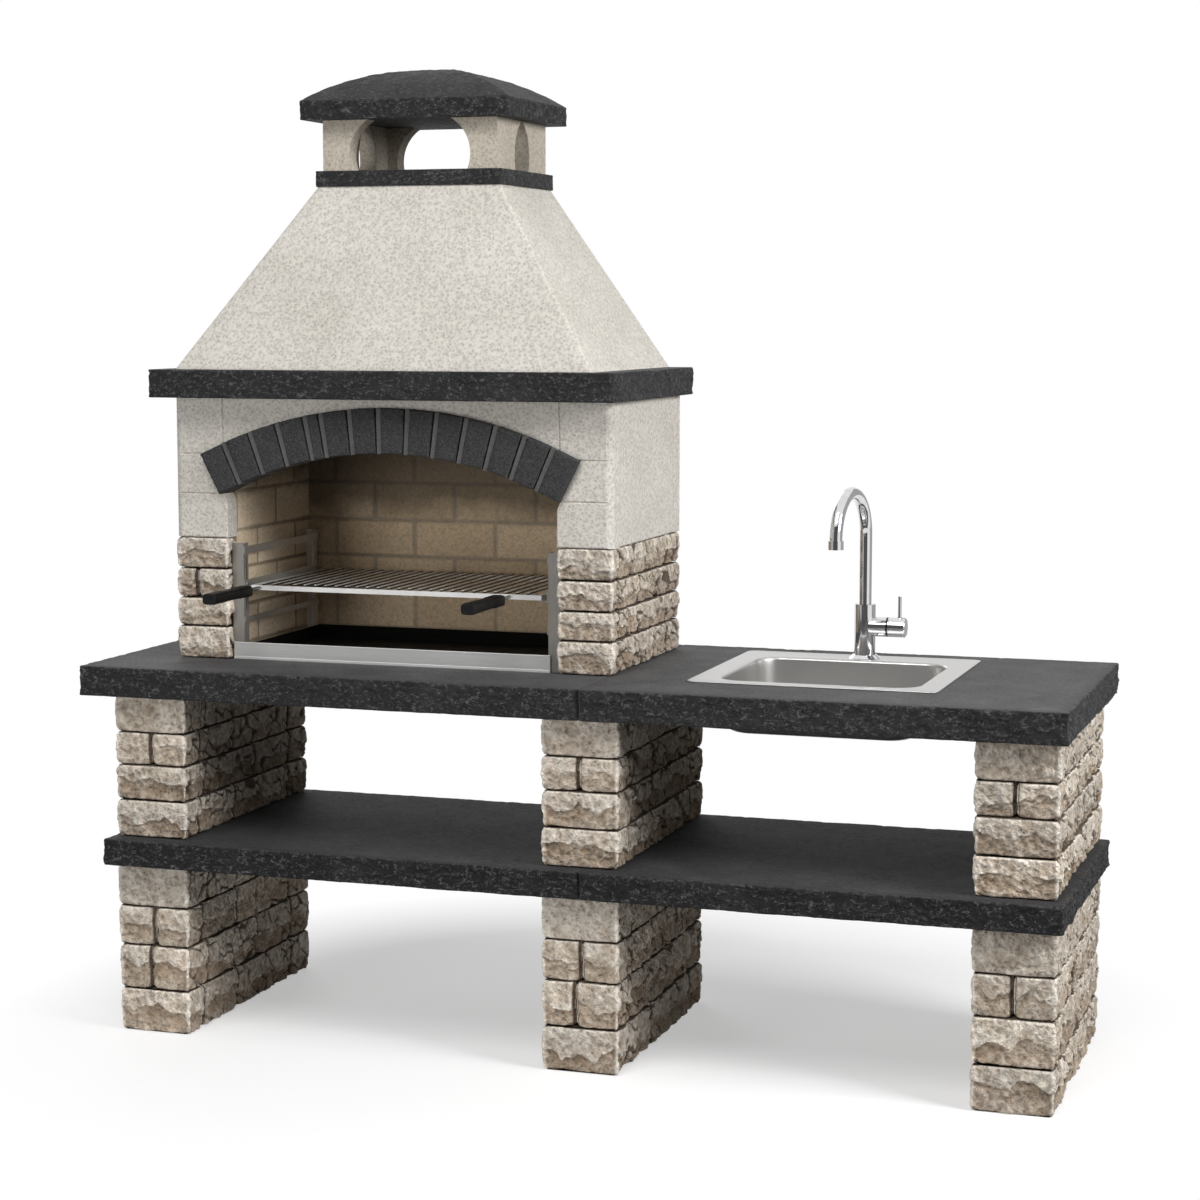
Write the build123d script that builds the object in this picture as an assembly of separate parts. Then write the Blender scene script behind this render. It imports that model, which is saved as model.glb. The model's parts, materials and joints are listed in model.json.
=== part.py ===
"""Stone grill station with sink: a hooded grill on the left, a sink and tap on the right.

Millimetres, +Z up, X along the counter, -Y towards the user.
The origin is on the ground under the middle of the counter.
"""
import math
import os

from build123d import *

# Counter and shelf slabs
COUNTER_HALF_X = 1115
COUNTER_HALF_Y = 395
COUNTER_TOP = 850
COUNTER_T = 68
SHELF_INSET_LEFT = 52
SHELF_INSET_RIGHT = 3
SHELF_INSET_FRONT = 1
SHELF_INSET_BACK = 77
SHELF_TOP = 454
SHELF_T = 60
SLAB_JOINT_INSET = 12
SLAB_EDGE = 3

# Stone piers
PIER_W = 176
PIER_INSET_FRONT = 43
PIER_INSET_BACK = 95
PIER_FROM_LEFT = 153
PIER_FROM_JOINT = 10
PIER_FROM_RIGHT = 107
STONE_EDGE = 5
LOWER_COURSES = (0.0, 0.254, 0.513, 0.744, 1.0)
UPPER_COURSES = (0.0, 0.262, 0.509, 0.738, 1.0)
PIER_SIDE_JOINTS = ((0.123, 0.393, 0.844), (0.163, 0.558, 0.853))
PIER_FRONT_SPLITS = {
    "left_lower": {1: 0.45, 2: 0.51},
    "left_upper": {2: 0.50},
    "middle_lower": {1: 0.43, 2: 0.51},
    "middle_upper": {2: 0.48},
    "right_lower": {2: 0.49},
    "right_upper": {2: 0.485},
}

# Firebox
FIRE_FROM_LEFT = 675
FIRE_FROM_FRONT = 205
JAMB_W = 130
FIRE_DEPTH = 512
MOUTH_HALF = 400
FRONT_T = 50
BACK_T = 40
BRICK_T = 25
BRICK_H = 89
BRICK_L = 208
BRICK_FOOT_H = 28
BRICK_GROOVE = 8
BRICK_GROOVE_DEPTH = 3
FIRE_STONE_H = 281
FIRE_COURSES = (0.0, 0.267, 0.502, 0.744, 1.0)
FIRE_SIDE_JOINTS = ((0.26, 0.57, 0.80), (0.17, 0.39, 0.69), (0.34, 0.65), (0.22, 0.44, 0.79))
FIRE_LEFT_SPLITS = {2: 0.385}
FIRE_H = 603
BLOCK_JOINT_H = 473
BLOCK_EDGE = 3
CORNER_CHAMFER = 12
LINTEL_BEARING = 7

# Arch of dark stones
ARCH_INNER_R = 895
ARCH_RING = 102
ARCH_APEX_H = 481
ARCH_BEARING = 9.8
ARCH_PROUD = 22
ARCH_STONES = 13
SLIVER_PLACE = 0.3
ARCH_SLIVER_ANGLE = 1.5
ARCH_JOINT_ANGLE = 0.8
ARCH_JOINT_DEPTH = 4
ARCH_EDGE = 3

# Mantel, hood and chimney
MANTEL_OVER_SIDE = 24.5
MANTEL_OVER_FRONT = 77
MANTEL_OVER_BACK = 23
MANTEL_T = 64
FLUE_LEDGE_SIDE = 70
FLUE_LEDGE_FRONT = 50
FLUE_LEDGE_BACK = 27
HOOD_LEDGE_SIDE = 54.5
HOOD_LEDGE_FRONT = 25
HOOD_LEDGE_BACK = 10
HOOD_LEAN_SIDE = 277.5
HOOD_LEAN_FRONT = 182
HOOD_LEAN_BACK = 52
HOOD_H = 413
HOOD_WALL = 45
COLLAR_LEDGE = 4
COLLAR_T = 36
CHIMNEY_INSET = 10
CHIMNEY_H = 114
CHIMNEY_WALL = 40
CHIMNEY_ARC_R = 90
CHIMNEY_ARC_H = 35
CHIMNEY_FRONT_OPEN = 295
CHIMNEY_SIDE_OPEN = 98
CAP_OVERHANG = 41
CAP_RIM = 42
CAP_RISE = 79

# Grill rack
POST_W = 28
POST_D = 25
POST_T = 3
POST_INSET_FRONT = 24
POST_INSET_REAR = 17
POST_H = 267
POST_FOOT_T = 4
POST_SCREW_R = 2.5
POST_SCREW_HEAD = 3.25
POST_SCREW_DEPTH = 30
RAIL_T = 3
UPPER_RAIL_H = (242, 259)
LOWER_RAIL_H = (84, 96)
RUNNER_H = 157
RUNNER_TALL = 22
RUNNER_LEDGE = 20
RUNNER_GAP = 0.3
RUNNER_BOLT_R = 3
RUNNER_TRAVEL = (-57, 58)
SLOT_PLAY = 0.5
NUT_T = 7
NUT_ACROSS = 14

# Grate
GRATE_GAP_SIDE = 13.7
GRATE_INSET_FRONT = 2
GRATE_INSET_REAR = 12
GRATE_BAR_T = 6
GRATE_BAR_H = 11
GRATE_RODS = 26
GRATE_ROD_R = 3
HANDLE_FROM_LEFT = 23
HANDLE_FROM_RIGHT = 75
HANDLE_ROD_R = 4
HANDLE_ROD_REACH = 100
GRIP_LENGTH = 190
GRIP_W = 33
GRIP_H = 25
GRIP_START = 70
GRIP_ROUND = 10

# Ember tray
TRAY_GAP_SIDE = 8
TRAY_PROUD = 4
TRAY_INSET_REAR = 4
TRAY_H = 34
TRAY_SHEET = 2
FENDER_GAP_LEFT = 4
FENDER_GAP_RIGHT = 22
FENDER_H = 39
FENDER_T = 3

# Sink
SINK_SHARE = 4 / 11
SINK_FROM_FRONT = 182
SINK_W = 552
SINK_D = 538
SINK_CORNER_R = 18
SHEET = 1.5
SEAL_T = 1
SEAL_W = 12
SEAL_INSET = 3
RIM_LEFT = 57
RIM_RIGHT = 55
RIM_FRONT = 45
RIM_BACK = 97
BOWL_DEPTH = 120
BOWL_CORNER_R = 55
BOWL_FLOOR_R = 30
BOWL_TAPER = 3
CUTOUT_GAP = 8
WASTE_R = 43
WASTE_FLANGE_R = 55
WASTE_CUP_DEPTH = 10
WASTE_OUTLET_R = 23.9
WASTE_OUTLET_L = 12
WASTE_NUT_R = 50
WASTE_NUT_T = 8
BASKET_R = 38
BASKET_HOLE_R = 2.5
BASKET_HOLE_RINGS = ((15, 7), (28, 14))
BASKET_STEM_R = 4
BASKET_STEM_H = 8
BASKET_KNOB_R = 9
BASKET_KNOB_H = 8

# Tap
TAP_FROM_BOWL_MID = 10
TAP_FROM_RIM_BACK = 45
TAP_BASE_R = 37
TAP_BASE_LEDGE = 3
TAP_BASE_H = 8
TAP_BODY_R = 24.5
TAP_BODY_H = 117
TAP_SHANK_R = 14
TAP_SHANK_UP = 15
TAP_SHANK_TAIL = 9.5
TAP_HOLE_R = 20
TAP_NUT_T = 12
TAP_NUT_ACROSS = 46
TAP_WASHER_R = 30
TAP_WASHER_T = 3
TAP_INLET_R = 4.5
TAP_INLET_L = 16
TAP_INLET_OFFSET = 6.4
SPOUT_R = 14.5
SPOUT_WALL = 1.5
SPOUT_SPIGOT_R = 12
SPOUT_SPIGOT_L = 30
SPOUT_RISE = 161
SPOUT_ARC_R = 100
SPOUT_TURN = 7
AERATOR_R = 17.5
AERATOR_H = 18
AERATOR_LIP = 4
VALVE_H = 65
VALVE_R = 22.5
VALVE_REACH = 52
CARTRIDGE_R = 17.5
CARTRIDGE_L = 34
CAP_HUB_R = 10
CAP_HUB_L = 10
CAP_GAP = 1.2
CAP_L = 43
CAP_ROUND = 3
LEVER_X = 81
LEVER_R = 4.25
LEVER_ROUND = 1.5
LEVER_TOP = 73
LEVER_FOOT = 5
LEVER_SLOT_X = (75, 94)
LEVER_PIN_R = 2
LEVER_PIN_HALF = 18

RUN_FIT = 0.05
LOOSE_FIT = 0.1
PLAY = 0.35

SLAB_BOTTOM = COUNTER_TOP - COUNTER_T
SHELF_BOTTOM = SHELF_TOP - SHELF_T
FIRE_X = FIRE_FROM_LEFT - COUNTER_HALF_X
FIRE_HALF = MOUTH_HALF + JAMB_W
FIRE_LEFT = FIRE_X - FIRE_HALF
FIRE_RIGHT = FIRE_X + FIRE_HALF
SLAB_JOINT_X = FIRE_RIGHT - SLAB_JOINT_INSET
SHELF_X = (SHELF_INSET_LEFT - COUNTER_HALF_X, COUNTER_HALF_X - SHELF_INSET_RIGHT)
SHELF_Y = (SHELF_INSET_FRONT - COUNTER_HALF_Y, COUNTER_HALF_Y - SHELF_INSET_BACK)
PIER_Y = (PIER_INSET_FRONT - COUNTER_HALF_Y, COUNTER_HALF_Y - PIER_INSET_BACK)
PIER_X = {
    "left": PIER_FROM_LEFT - COUNTER_HALF_X,
    "middle": SLAB_JOINT_X - PIER_FROM_JOINT,
    "right": COUNTER_HALF_X - PIER_FROM_RIGHT,
}
FIRE_FRONT = FIRE_FROM_FRONT - COUNTER_HALF_Y
FIRE_BACK = FIRE_FRONT + FIRE_DEPTH
STONE_TOP = COUNTER_TOP + FIRE_STONE_H
MANTEL_BOTTOM = COUNTER_TOP + FIRE_H
MANTEL_TOP = MANTEL_BOTTOM + MANTEL_T
HOOD_TOP = MANTEL_TOP + HOOD_H
COLLAR_TOP = HOOD_TOP + COLLAR_T
CHIMNEY_TOP = COLLAR_TOP + CHIMNEY_H
ARCH_OUTER_R = ARCH_INNER_R + ARCH_RING
ARCH_Z = COUNTER_TOP + ARCH_APEX_H - ARCH_INNER_R
ARCH_HALF_ANGLE = math.degrees(math.asin((MOUTH_HALF + ARCH_BEARING) / ARCH_INNER_R))
SPRING_Z = ARCH_Z + ARCH_INNER_R * math.cos(math.radians(ARCH_HALF_ANGLE))
BLOCK_JOINT_Z = COUNTER_TOP + BLOCK_JOINT_H
FRONT_INNER = FIRE_FRONT + FRONT_T
BACK_INNER = FIRE_BACK - BACK_T
MOUTH_LEFT = FIRE_X - MOUTH_HALF
MOUTH_RIGHT = FIRE_X + MOUTH_HALF
LINTEL_HALF = MOUTH_HALF + LINTEL_BEARING
REAR_FACE = BACK_INNER - BRICK_T
MANTEL_HALF = FIRE_HALF + MANTEL_OVER_SIDE
MANTEL_Y = (FIRE_FRONT - MANTEL_OVER_FRONT, FIRE_BACK + MANTEL_OVER_BACK)
FLUE_Y = (FRONT_INNER + FLUE_LEDGE_FRONT, REAR_FACE - FLUE_LEDGE_BACK)
HOOD_BASE_HALF = MANTEL_HALF - HOOD_LEDGE_SIDE
HOOD_BASE_Y = (MANTEL_Y[0] + HOOD_LEDGE_FRONT, MANTEL_Y[1] - HOOD_LEDGE_BACK)
HOOD_TOP_HALF = HOOD_BASE_HALF - HOOD_LEAN_SIDE
HOOD_TOP_Y = (HOOD_BASE_Y[0] + HOOD_LEAN_FRONT, HOOD_BASE_Y[1] - HOOD_LEAN_BACK)
POST_FRONT = FIRE_FRONT + POST_INSET_FRONT
POST_REAR = REAR_FACE - POST_INSET_REAR
GRATE_HALF = MOUTH_HALF - POST_W - RUNNER_GAP - POST_T - GRATE_GAP_SIDE
GRATE_Y = (POST_FRONT + GRATE_INSET_FRONT, POST_REAR - GRATE_INSET_REAR)
TRAY_HALF = MOUTH_HALF - POST_W - TRAY_GAP_SIDE
TRAY_Y = (POST_FRONT - TRAY_PROUD, POST_REAR - TRAY_INSET_REAR)
RUNNER_TOP = COUNTER_TOP + RUNNER_H + POST_T
RIM_BOTTOM = COUNTER_TOP + SEAL_T
RIM_TOP = RIM_BOTTOM + SHEET
SINK_LEFT = FIRE_RIGHT + SINK_SHARE * (COUNTER_HALF_X - FIRE_RIGHT - SINK_W)
SINK_X = (SINK_LEFT, SINK_LEFT + SINK_W)
SINK_Y = (SINK_FROM_FRONT - COUNTER_HALF_Y, SINK_FROM_FRONT - COUNTER_HALF_Y + SINK_D)
BOWL_X = (SINK_X[0] + RIM_LEFT, SINK_X[1] - RIM_RIGHT)
BOWL_Y = (SINK_Y[0] + RIM_FRONT, SINK_Y[1] - RIM_BACK)
BOWL_MID = (sum(BOWL_X) / 2, sum(BOWL_Y) / 2)
BOWL_FLOOR = RIM_TOP - BOWL_DEPTH
BOWL_UNDER = BOWL_FLOOR - SHEET
WASTE_BOTTOM = BOWL_UNDER - WASTE_CUP_DEPTH
TAP_X = BOWL_MID[0] + TAP_FROM_BOWL_MID
TAP_Y = SINK_Y[1] - TAP_FROM_RIM_BACK


def block(x, y, z):
    """Box from (low, high) pairs along X, Y and Z."""
    centre = Pos(sum(x) / 2, sum(y) / 2, sum(z) / 2)
    return centre * Box(x[1] - x[0], y[1] - y[0], z[1] - z[0])


def stone(x, y, z):
    """Building stone: a box with all its edges knocked off."""
    return chamfer(block(x, y, z).edges(), STONE_EDGE)


def rod_x(x, y, z, radius):
    """Round bar along X between the two values of x."""
    return Pos(sum(x) / 2, y, z) * Rot(0, 90, 0) * Cylinder(radius, x[1] - x[0])


def rod_y(x, y, z, radius):
    """Round bar along Y between the two values of y."""
    return Pos(x, sum(y) / 2, z) * Rot(90, 0, 0) * Cylinder(radius, y[1] - y[0])


def rod_z(x, y, z, radius):
    """Round bar along Z between the two values of z."""
    return Pos(x, y, sum(z) / 2) * Cylinder(radius, z[1] - z[0])


def frustum(half_base, y_base, half_top, y_top, z):
    """Four-sided tapering solid between two rectangles centred on the firebox."""
    base = Pos(FIRE_X, sum(y_base) / 2, z[0]) * Rectangle(2 * half_base, y_base[1] - y_base[0])
    top = Pos(FIRE_X, sum(y_top) / 2, z[1]) * Rectangle(2 * half_top, y_top[1] - y_top[0])
    return loft([base, top], ruled=True)


def inset(pair, amount):
    """A (low, high) pair drawn in at both ends."""
    return (pair[0] + amount, pair[1] - amount)


def mirrored(shape):
    """The shape on the other side of the firebox's middle plane."""
    return mirror(shape, Plane.YZ.offset(FIRE_X))


def save(name, *pieces):
    """Write one node's solids to its own file."""
    solids = [solid for piece in pieces for solid in piece.solids()]
    shape = solids[0] if len(solids) == 1 else Compound(solids)
    export_step(shape, f"parts/{name}.step")


def spans(joints, low, high):
    """Neighbouring (low, high) pairs cut at the given fractions of a length."""
    cuts = [low + (high - low) * part for part in joints]
    return list(zip(cuts[:-1], cuts[1:]))


def pier(name, x_mid, courses, z_low, z_high):
    """Courses of stones: front stone or pair, two long stones and a rear stone."""
    x_low = x_mid - PIER_W / 2
    x_high = x_mid + PIER_W / 2
    stones = []
    for level, z in enumerate(spans(courses, z_low, z_high)):
        lengths = spans((0.0, *PIER_SIDE_JOINTS[level % 2], 1.0), *PIER_Y)
        split = PIER_FRONT_SPLITS[name].get(level)
        front_cuts = (0.0, 1.0) if split is None else (0.0, split, 1.0)
        for x in spans(front_cuts, x_low, x_high):
            stones.append(stone(x, lengths[0], z))
        for y in lengths[1:]:
            stones.append(stone((x_low, x_high), y, z))
    return stones


def slab(x, y, top, thickness):
    """Stone slab with its edges eased."""
    return chamfer(block(x, y, (top - thickness, top)).edges(), SLAB_EDGE)


def arch_sector(inner, outer, start, stop, y):
    """Piece of the arch ring between two angles in degrees from the vertical."""
    def point(radius, angle):
        turn = math.radians(angle)
        return (FIRE_X + radius * math.sin(turn), y[0], ARCH_Z + radius * math.cos(turn))

    middle = (start + stop) / 2
    outline = Curve() + [
        ThreePointArc(point(outer, start), point(outer, middle), point(outer, stop)),
        Line(point(outer, stop), point(inner, stop)),
        ThreePointArc(point(inner, stop), point(inner, middle), point(inner, start)),
        Line(point(inner, start), point(outer, start)),
    ]
    return extrude(make_face(outline), y[1] - y[0], dir=(0, 1, 0))


def fire_stones(front_splits):
    """Rough stone courses of the left firebox wall."""
    inner = MOUTH_LEFT - BRICK_T
    stones = []
    for level, z in enumerate(spans(FIRE_COURSES, COUNTER_TOP, STONE_TOP)):
        split = front_splits.get(level)
        front_cuts = (0.0, 1.0) if split is None else (0.0, split, 1.0)
        for x in spans(front_cuts, FIRE_LEFT, MOUTH_LEFT):
            stones.append(stone(x, (FIRE_FRONT, FRONT_INNER), z))
        for y in spans((0.0, *FIRE_SIDE_JOINTS[level], 1.0), FRONT_INNER, FIRE_BACK):
            stones.append(stone((FIRE_LEFT, inner), y, z))
    return stones


def front_blocks(ring_space):
    """Three smooth blocks above the stones at the left of the firebox front."""
    blocks = []
    heights = (STONE_TOP, SPRING_Z, BLOCK_JOINT_Z, MANTEL_BOTTOM)
    for z in zip(heights[:-1], heights[1:]):
        inner = MOUTH_LEFT if z[0] == STONE_TOP else FIRE_X - LINTEL_HALF
        body = block((FIRE_LEFT, inner), (FIRE_FRONT, FRONT_INNER), z)
        corner = body.edges().filter_by(Axis.Z).group_by(Axis.X)[0].sort_by(Axis.Y)[0]
        body = chamfer(corner, CORNER_CHAMFER)
        face_edges = body.faces().sort_by(Axis.Y)[0].edges()
        blocks.append(chamfer(face_edges, BLOCK_EDGE) - ring_space)
    return blocks


def brick_grooves(low, high, vertical_cut, level_cut):
    """Grooves of running-bond firebricks on a lining, counted from its far end, over a cut first course."""
    cuts = []
    rows = math.ceil((FIRE_H - BRICK_FOOT_H) / BRICK_H)
    for row in range(rows + 1):
        z_low = COUNTER_TOP + (BRICK_FOOT_H + (row - 1) * BRICK_H if row else 0)
        z_high = min(COUNTER_TOP + BRICK_FOOT_H + row * BRICK_H, MANTEL_BOTTOM)
        if row > 0:
            cuts.append(level_cut(z_low))
        place = high - BRICK_L * (0.5 if row % 2 else 1.0)
        while place > low + BRICK_GROOVE:
            cuts.append(vertical_cut(place, z_low, z_high))
            place -= BRICK_L
    return cuts


def around(middle, width):
    """(low, high) pair of a width about its middle."""
    return (middle - width / 2, middle + width / 2)


def rear_lining():
    """Firebrick lining of the rear wall."""
    y = (REAR_FACE, BACK_INNER)
    groove_y = (y[0], y[0] + BRICK_GROOVE_DEPTH)
    x = (MOUTH_LEFT, MOUTH_RIGHT)
    panel = block(x, y, (COUNTER_TOP, MANTEL_BOTTOM))

    def vertical(place, z_low, z_high):
        return block(around(place, BRICK_GROOVE), groove_y, (z_low, z_high))

    def level(z):
        return block(x, groove_y, around(z, BRICK_GROOVE))

    return panel - brick_grooves(*x, vertical, level)


def side_lining():
    """Firebrick lining of the left wall."""
    x = (MOUTH_LEFT - BRICK_T, MOUTH_LEFT)
    groove_x = (x[1] - BRICK_GROOVE_DEPTH, x[1])
    y = (FRONT_INNER, BACK_INNER)
    panel = block(x, y, (COUNTER_TOP, MANTEL_BOTTOM))

    def vertical(place, z_low, z_high):
        return block(groove_x, around(place, BRICK_GROOVE), (z_low, z_high))

    def level(z):
        return block(groove_x, y, around(z, BRICK_GROOVE))

    return panel - brick_grooves(*y, vertical, level)


def chimney_posts(half, y):
    """Four corner posts left where the chimney walls are cut by rounded openings."""
    z = (COLLAR_TOP, CHIMNEY_TOP)
    y_mid = sum(y) / 2
    arc_z = COLLAR_TOP + CHIMNEY_ARC_H
    walls = block((FIRE_X - half, FIRE_X + half), y, z)
    walls -= block((FIRE_X - half + CHIMNEY_WALL, FIRE_X + half - CHIMNEY_WALL), inset(y, CHIMNEY_WALL), z)
    front_shift = CHIMNEY_FRONT_OPEN / 2 - CHIMNEY_ARC_R
    middle_x = around(FIRE_X, 2 * front_shift)
    walls -= block(middle_x, y, z)
    for x in middle_x:
        walls -= rod_y(x, y, arc_z, CHIMNEY_ARC_R)
    side_shift = CHIMNEY_ARC_R - CHIMNEY_SIDE_OPEN / 2
    lens = rod_x((FIRE_X - half, FIRE_X + half), y_mid - side_shift, arc_z, CHIMNEY_ARC_R)
    lens &= rod_x((FIRE_X - half, FIRE_X + half), y_mid + side_shift, arc_z, CHIMNEY_ARC_R)
    return walls - lens


def chimney_cap(half, y):
    """Slab whose top is a four-sided dome: two arched prisms crossed."""
    rim = CHIMNEY_TOP + CAP_RIM
    crown = rim + CAP_RISE
    y_mid = sum(y) / 2
    along_y = Curve() + [
        Polyline(
            (FIRE_X + half, y[0], rim),
            (FIRE_X + half, y[0], CHIMNEY_TOP),
            (FIRE_X - half, y[0], CHIMNEY_TOP),
            (FIRE_X - half, y[0], rim),
        ),
        ThreePointArc((FIRE_X - half, y[0], rim), (FIRE_X, y[0], crown), (FIRE_X + half, y[0], rim)),
    ]
    along_x = Curve() + [
        Polyline(
            (FIRE_X - half, y[1], rim),
            (FIRE_X - half, y[1], CHIMNEY_TOP),
            (FIRE_X - half, y[0], CHIMNEY_TOP),
            (FIRE_X - half, y[0], rim),
        ),
        ThreePointArc((FIRE_X - half, y[0], rim), (FIRE_X - half, y_mid, crown), (FIRE_X - half, y[1], rim)),
    ]
    arched = extrude(make_face(along_y), y[1] - y[0], dir=(0, 1, 0))
    return arched & extrude(make_face(along_x), 2 * half, dir=(1, 0, 0))


def post(front):
    """Left angle post with a slot for the runner bolt, and the bolt's place along Y."""
    y = (POST_FRONT, POST_FRONT + POST_D) if front else (POST_REAR - POST_D, POST_REAR)
    x = (MOUTH_LEFT, MOUTH_LEFT + POST_W)
    z = (COUNTER_TOP, COUNTER_TOP + POST_H)
    face_y = (y[0], y[0] + POST_T) if front else (y[1] - POST_T, y[1])
    web_x = (x[1] - POST_T, x[1])
    bolt_y = sum(y) / 2
    body = block(x, face_y, z) + block(web_x, y, z)
    body += block(x, y, (COUNTER_TOP, COUNTER_TOP + POST_FOOT_T))
    slot_r = RUNNER_BOLT_R + SLOT_PLAY
    bolt_z = RUNNER_TOP + RUNNER_TALL / 2
    low = bolt_z + RUNNER_TRAVEL[0] - SLOT_PLAY
    high = bolt_z + RUNNER_TRAVEL[1] + SLOT_PLAY
    body -= block(web_x, (bolt_y - slot_r, bolt_y + slot_r), (low, high))
    for end in (low, high):
        body -= rod_x(web_x, bolt_y, end, slot_r)
    screw_x = MOUTH_LEFT + POST_W / 2 - POST_T / 2
    body -= rod_z(screw_x, bolt_y, z, POST_SCREW_R + LOOSE_FIT)
    return body, bolt_y, screw_x


def post_screw(x, y):
    """Pan-head screw from the post's foot into the counter slab."""
    head = COUNTER_TOP + POST_FOOT_T
    shank = rod_z(x, y, (COUNTER_TOP - POST_SCREW_DEPTH, head), POST_SCREW_R)
    return shank + rod_z(x, y, (head, head + POST_SCREW_HEAD), 2 * POST_SCREW_R)


def screw_hole(x, y):
    """Hole in the counter slab for a post screw."""
    return rod_z(x, y, (COUNTER_TOP - POST_SCREW_DEPTH, COUNTER_TOP), POST_SCREW_R + LOOSE_FIT)


def fixed_rail(heights):
    """Flat bar joining the left posts."""
    x = (MOUTH_LEFT + POST_W, MOUTH_LEFT + POST_W + RAIL_T)
    return block(x, (POST_FRONT, POST_REAR), (COUNTER_TOP + heights[0], COUNTER_TOP + heights[1]))


def runner(bolt_places):
    """Left angle runner that carries the grate, drilled for its two bolts."""
    web = MOUTH_LEFT + POST_W + RUNNER_GAP
    y = (POST_FRONT, POST_REAR)
    bottom = RUNNER_TOP - POST_T
    body = block((web, web + POST_T), y, (bottom, bottom + POST_T + RUNNER_TALL))
    body += block((web, web + POST_T + RUNNER_LEDGE), y, (bottom, RUNNER_TOP))
    for place in bolt_places:
        body -= rod_x((web, web + POST_T), place, RUNNER_TOP + RUNNER_TALL / 2, RUNNER_BOLT_R + LOOSE_FIT)
    return body


def runner_bolt(place):
    """Bolt through the left runner and the post's slot."""
    web = MOUTH_LEFT + POST_W + RUNNER_GAP
    z = RUNNER_TOP + RUNNER_TALL / 2
    nut_end = MOUTH_LEFT + POST_W - POST_T - RUNNER_GAP - NUT_T
    head = rod_x((web + POST_T, web + POST_T + RUNNER_BOLT_R), place, z, 2 * RUNNER_BOLT_R)
    return head + rod_x((nut_end, web + POST_T), place, z, RUNNER_BOLT_R)


def runner_nut(place):
    """Hexagon nut behind the left post."""
    z = RUNNER_TOP + RUNNER_TALL / 2
    outer = MOUTH_LEFT + POST_W - POST_T - RUNNER_GAP
    prism = extrude(RegularPolygon(NUT_ACROSS / 2, 6, major_radius=False), NUT_T)
    nut = Pos(outer - NUT_T, place, z) * Rot(0, 90, 0) * prism
    return nut - rod_x((outer - NUT_T, outer), place, z, RUNNER_BOLT_R + LOOSE_FIT)


def bowl(extra):
    """Tapered bowl volume grown by a sheet thickness."""
    width = BOWL_X[1] - BOWL_X[0] + 2 * extra
    depth = BOWL_Y[1] - BOWL_Y[0] + 2 * extra
    outline = Pos(*BOWL_MID, RIM_TOP) * RectangleRounded(width, depth, BOWL_CORNER_R + extra)
    body = extrude(outline, BOWL_DEPTH + extra, dir=(0, 0, -1), taper=BOWL_TAPER)
    return fillet(body.faces().sort_by(Axis.Z)[0].edges(), BOWL_FLOOR_R + extra)


def rounded_plate(x, y, z, radius):
    """Flat plate with rounded corners."""
    outline = Pos(sum(x) / 2, sum(y) / 2, z[0]) * RectangleRounded(x[1] - x[0], y[1] - y[0], radius)
    return extrude(outline, z[1] - z[0], dir=(0, 0, 1))


def ring_z(x, y, z, outer, inner):
    """Round ring along Z."""
    return rod_z(x, y, z, outer) - rod_z(x, y, z, inner)


def grip(x, y_back, z):
    """Handle grip bored for its rod."""
    y = (y_back - GRIP_LENGTH, y_back)
    body = block(around(x, GRIP_W), y, around(z, GRIP_H))
    body = fillet(body.edges().filter_by(Axis.Y), GRIP_ROUND)
    bore = (y_back - (HANDLE_ROD_REACH - GRIP_START), y_back)
    return body - rod_y(x, bore, z, HANDLE_ROD_R)


def spout():
    """Hollow gooseneck with a bearing spigot, turned to the photographed direction."""
    foot = RIM_TOP + TAP_BASE_H + TAP_BODY_H + RUNNER_GAP
    bend = foot + SPOUT_RISE
    tip_y = TAP_Y - 2 * SPOUT_ARC_R
    top = (TAP_X, TAP_Y - SPOUT_ARC_R, bend + SPOUT_ARC_R)
    path = Curve() + [
        Line((TAP_X, TAP_Y, foot), (TAP_X, TAP_Y, bend)),
        ThreePointArc((TAP_X, TAP_Y, bend), top, (TAP_X, tip_y, bend)),
        Line((TAP_X, tip_y, bend), (TAP_X, tip_y, bend - AERATOR_H)),
    ]
    section = Pos(TAP_X, TAP_Y, foot) * (Circle(SPOUT_R) - Circle(SPOUT_R - SPOUT_WALL))
    tube = sweep(section, path=path)
    spigot = (foot - SPOUT_SPIGOT_L, foot + SPOUT_WALL)
    tube += ring_z(TAP_X, TAP_Y, spigot, SPOUT_SPIGOT_R, SPOUT_SPIGOT_R - 2 * SPOUT_WALL)
    tube += ring_z(TAP_X, TAP_Y, (foot, foot + SPOUT_WALL), SPOUT_R, SPOUT_SPIGOT_R - 2 * SPOUT_WALL)
    aerator = ring_z(TAP_X, tip_y, (bend - AERATOR_H, bend), AERATOR_R, SPOUT_R)
    lip_z = (bend - AERATOR_H - SPOUT_WALL, bend - AERATOR_H)
    aerator += ring_z(TAP_X, tip_y, lip_z, AERATOR_R, SPOUT_R - AERATOR_LIP)
    turn = Pos(TAP_X, TAP_Y, 0) * Rot(0, 0, -SPOUT_TURN) * Pos(-TAP_X, -TAP_Y, 0)
    return turn * tube, turn * aerator


os.makedirs("parts", exist_ok=True)

for side, x_mid in PIER_X.items():
    lower = f"{side}_lower"
    upper = f"{side}_upper"
    save(f"{side}_pier_lower", *pier(lower, x_mid, LOWER_COURSES, 0, SHELF_BOTTOM))
    save(f"{side}_pier_upper", *pier(upper, x_mid, UPPER_COURSES, SHELF_TOP, SLAB_BOTTOM))

counter_y = (-COUNTER_HALF_Y, COUNTER_HALF_Y)
save("shelf_left", slab((SHELF_X[0], SLAB_JOINT_X), SHELF_Y, SHELF_TOP, SHELF_T))
save("shelf_right", slab((SLAB_JOINT_X, SHELF_X[1]), SHELF_Y, SHELF_TOP, SHELF_T))

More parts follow.
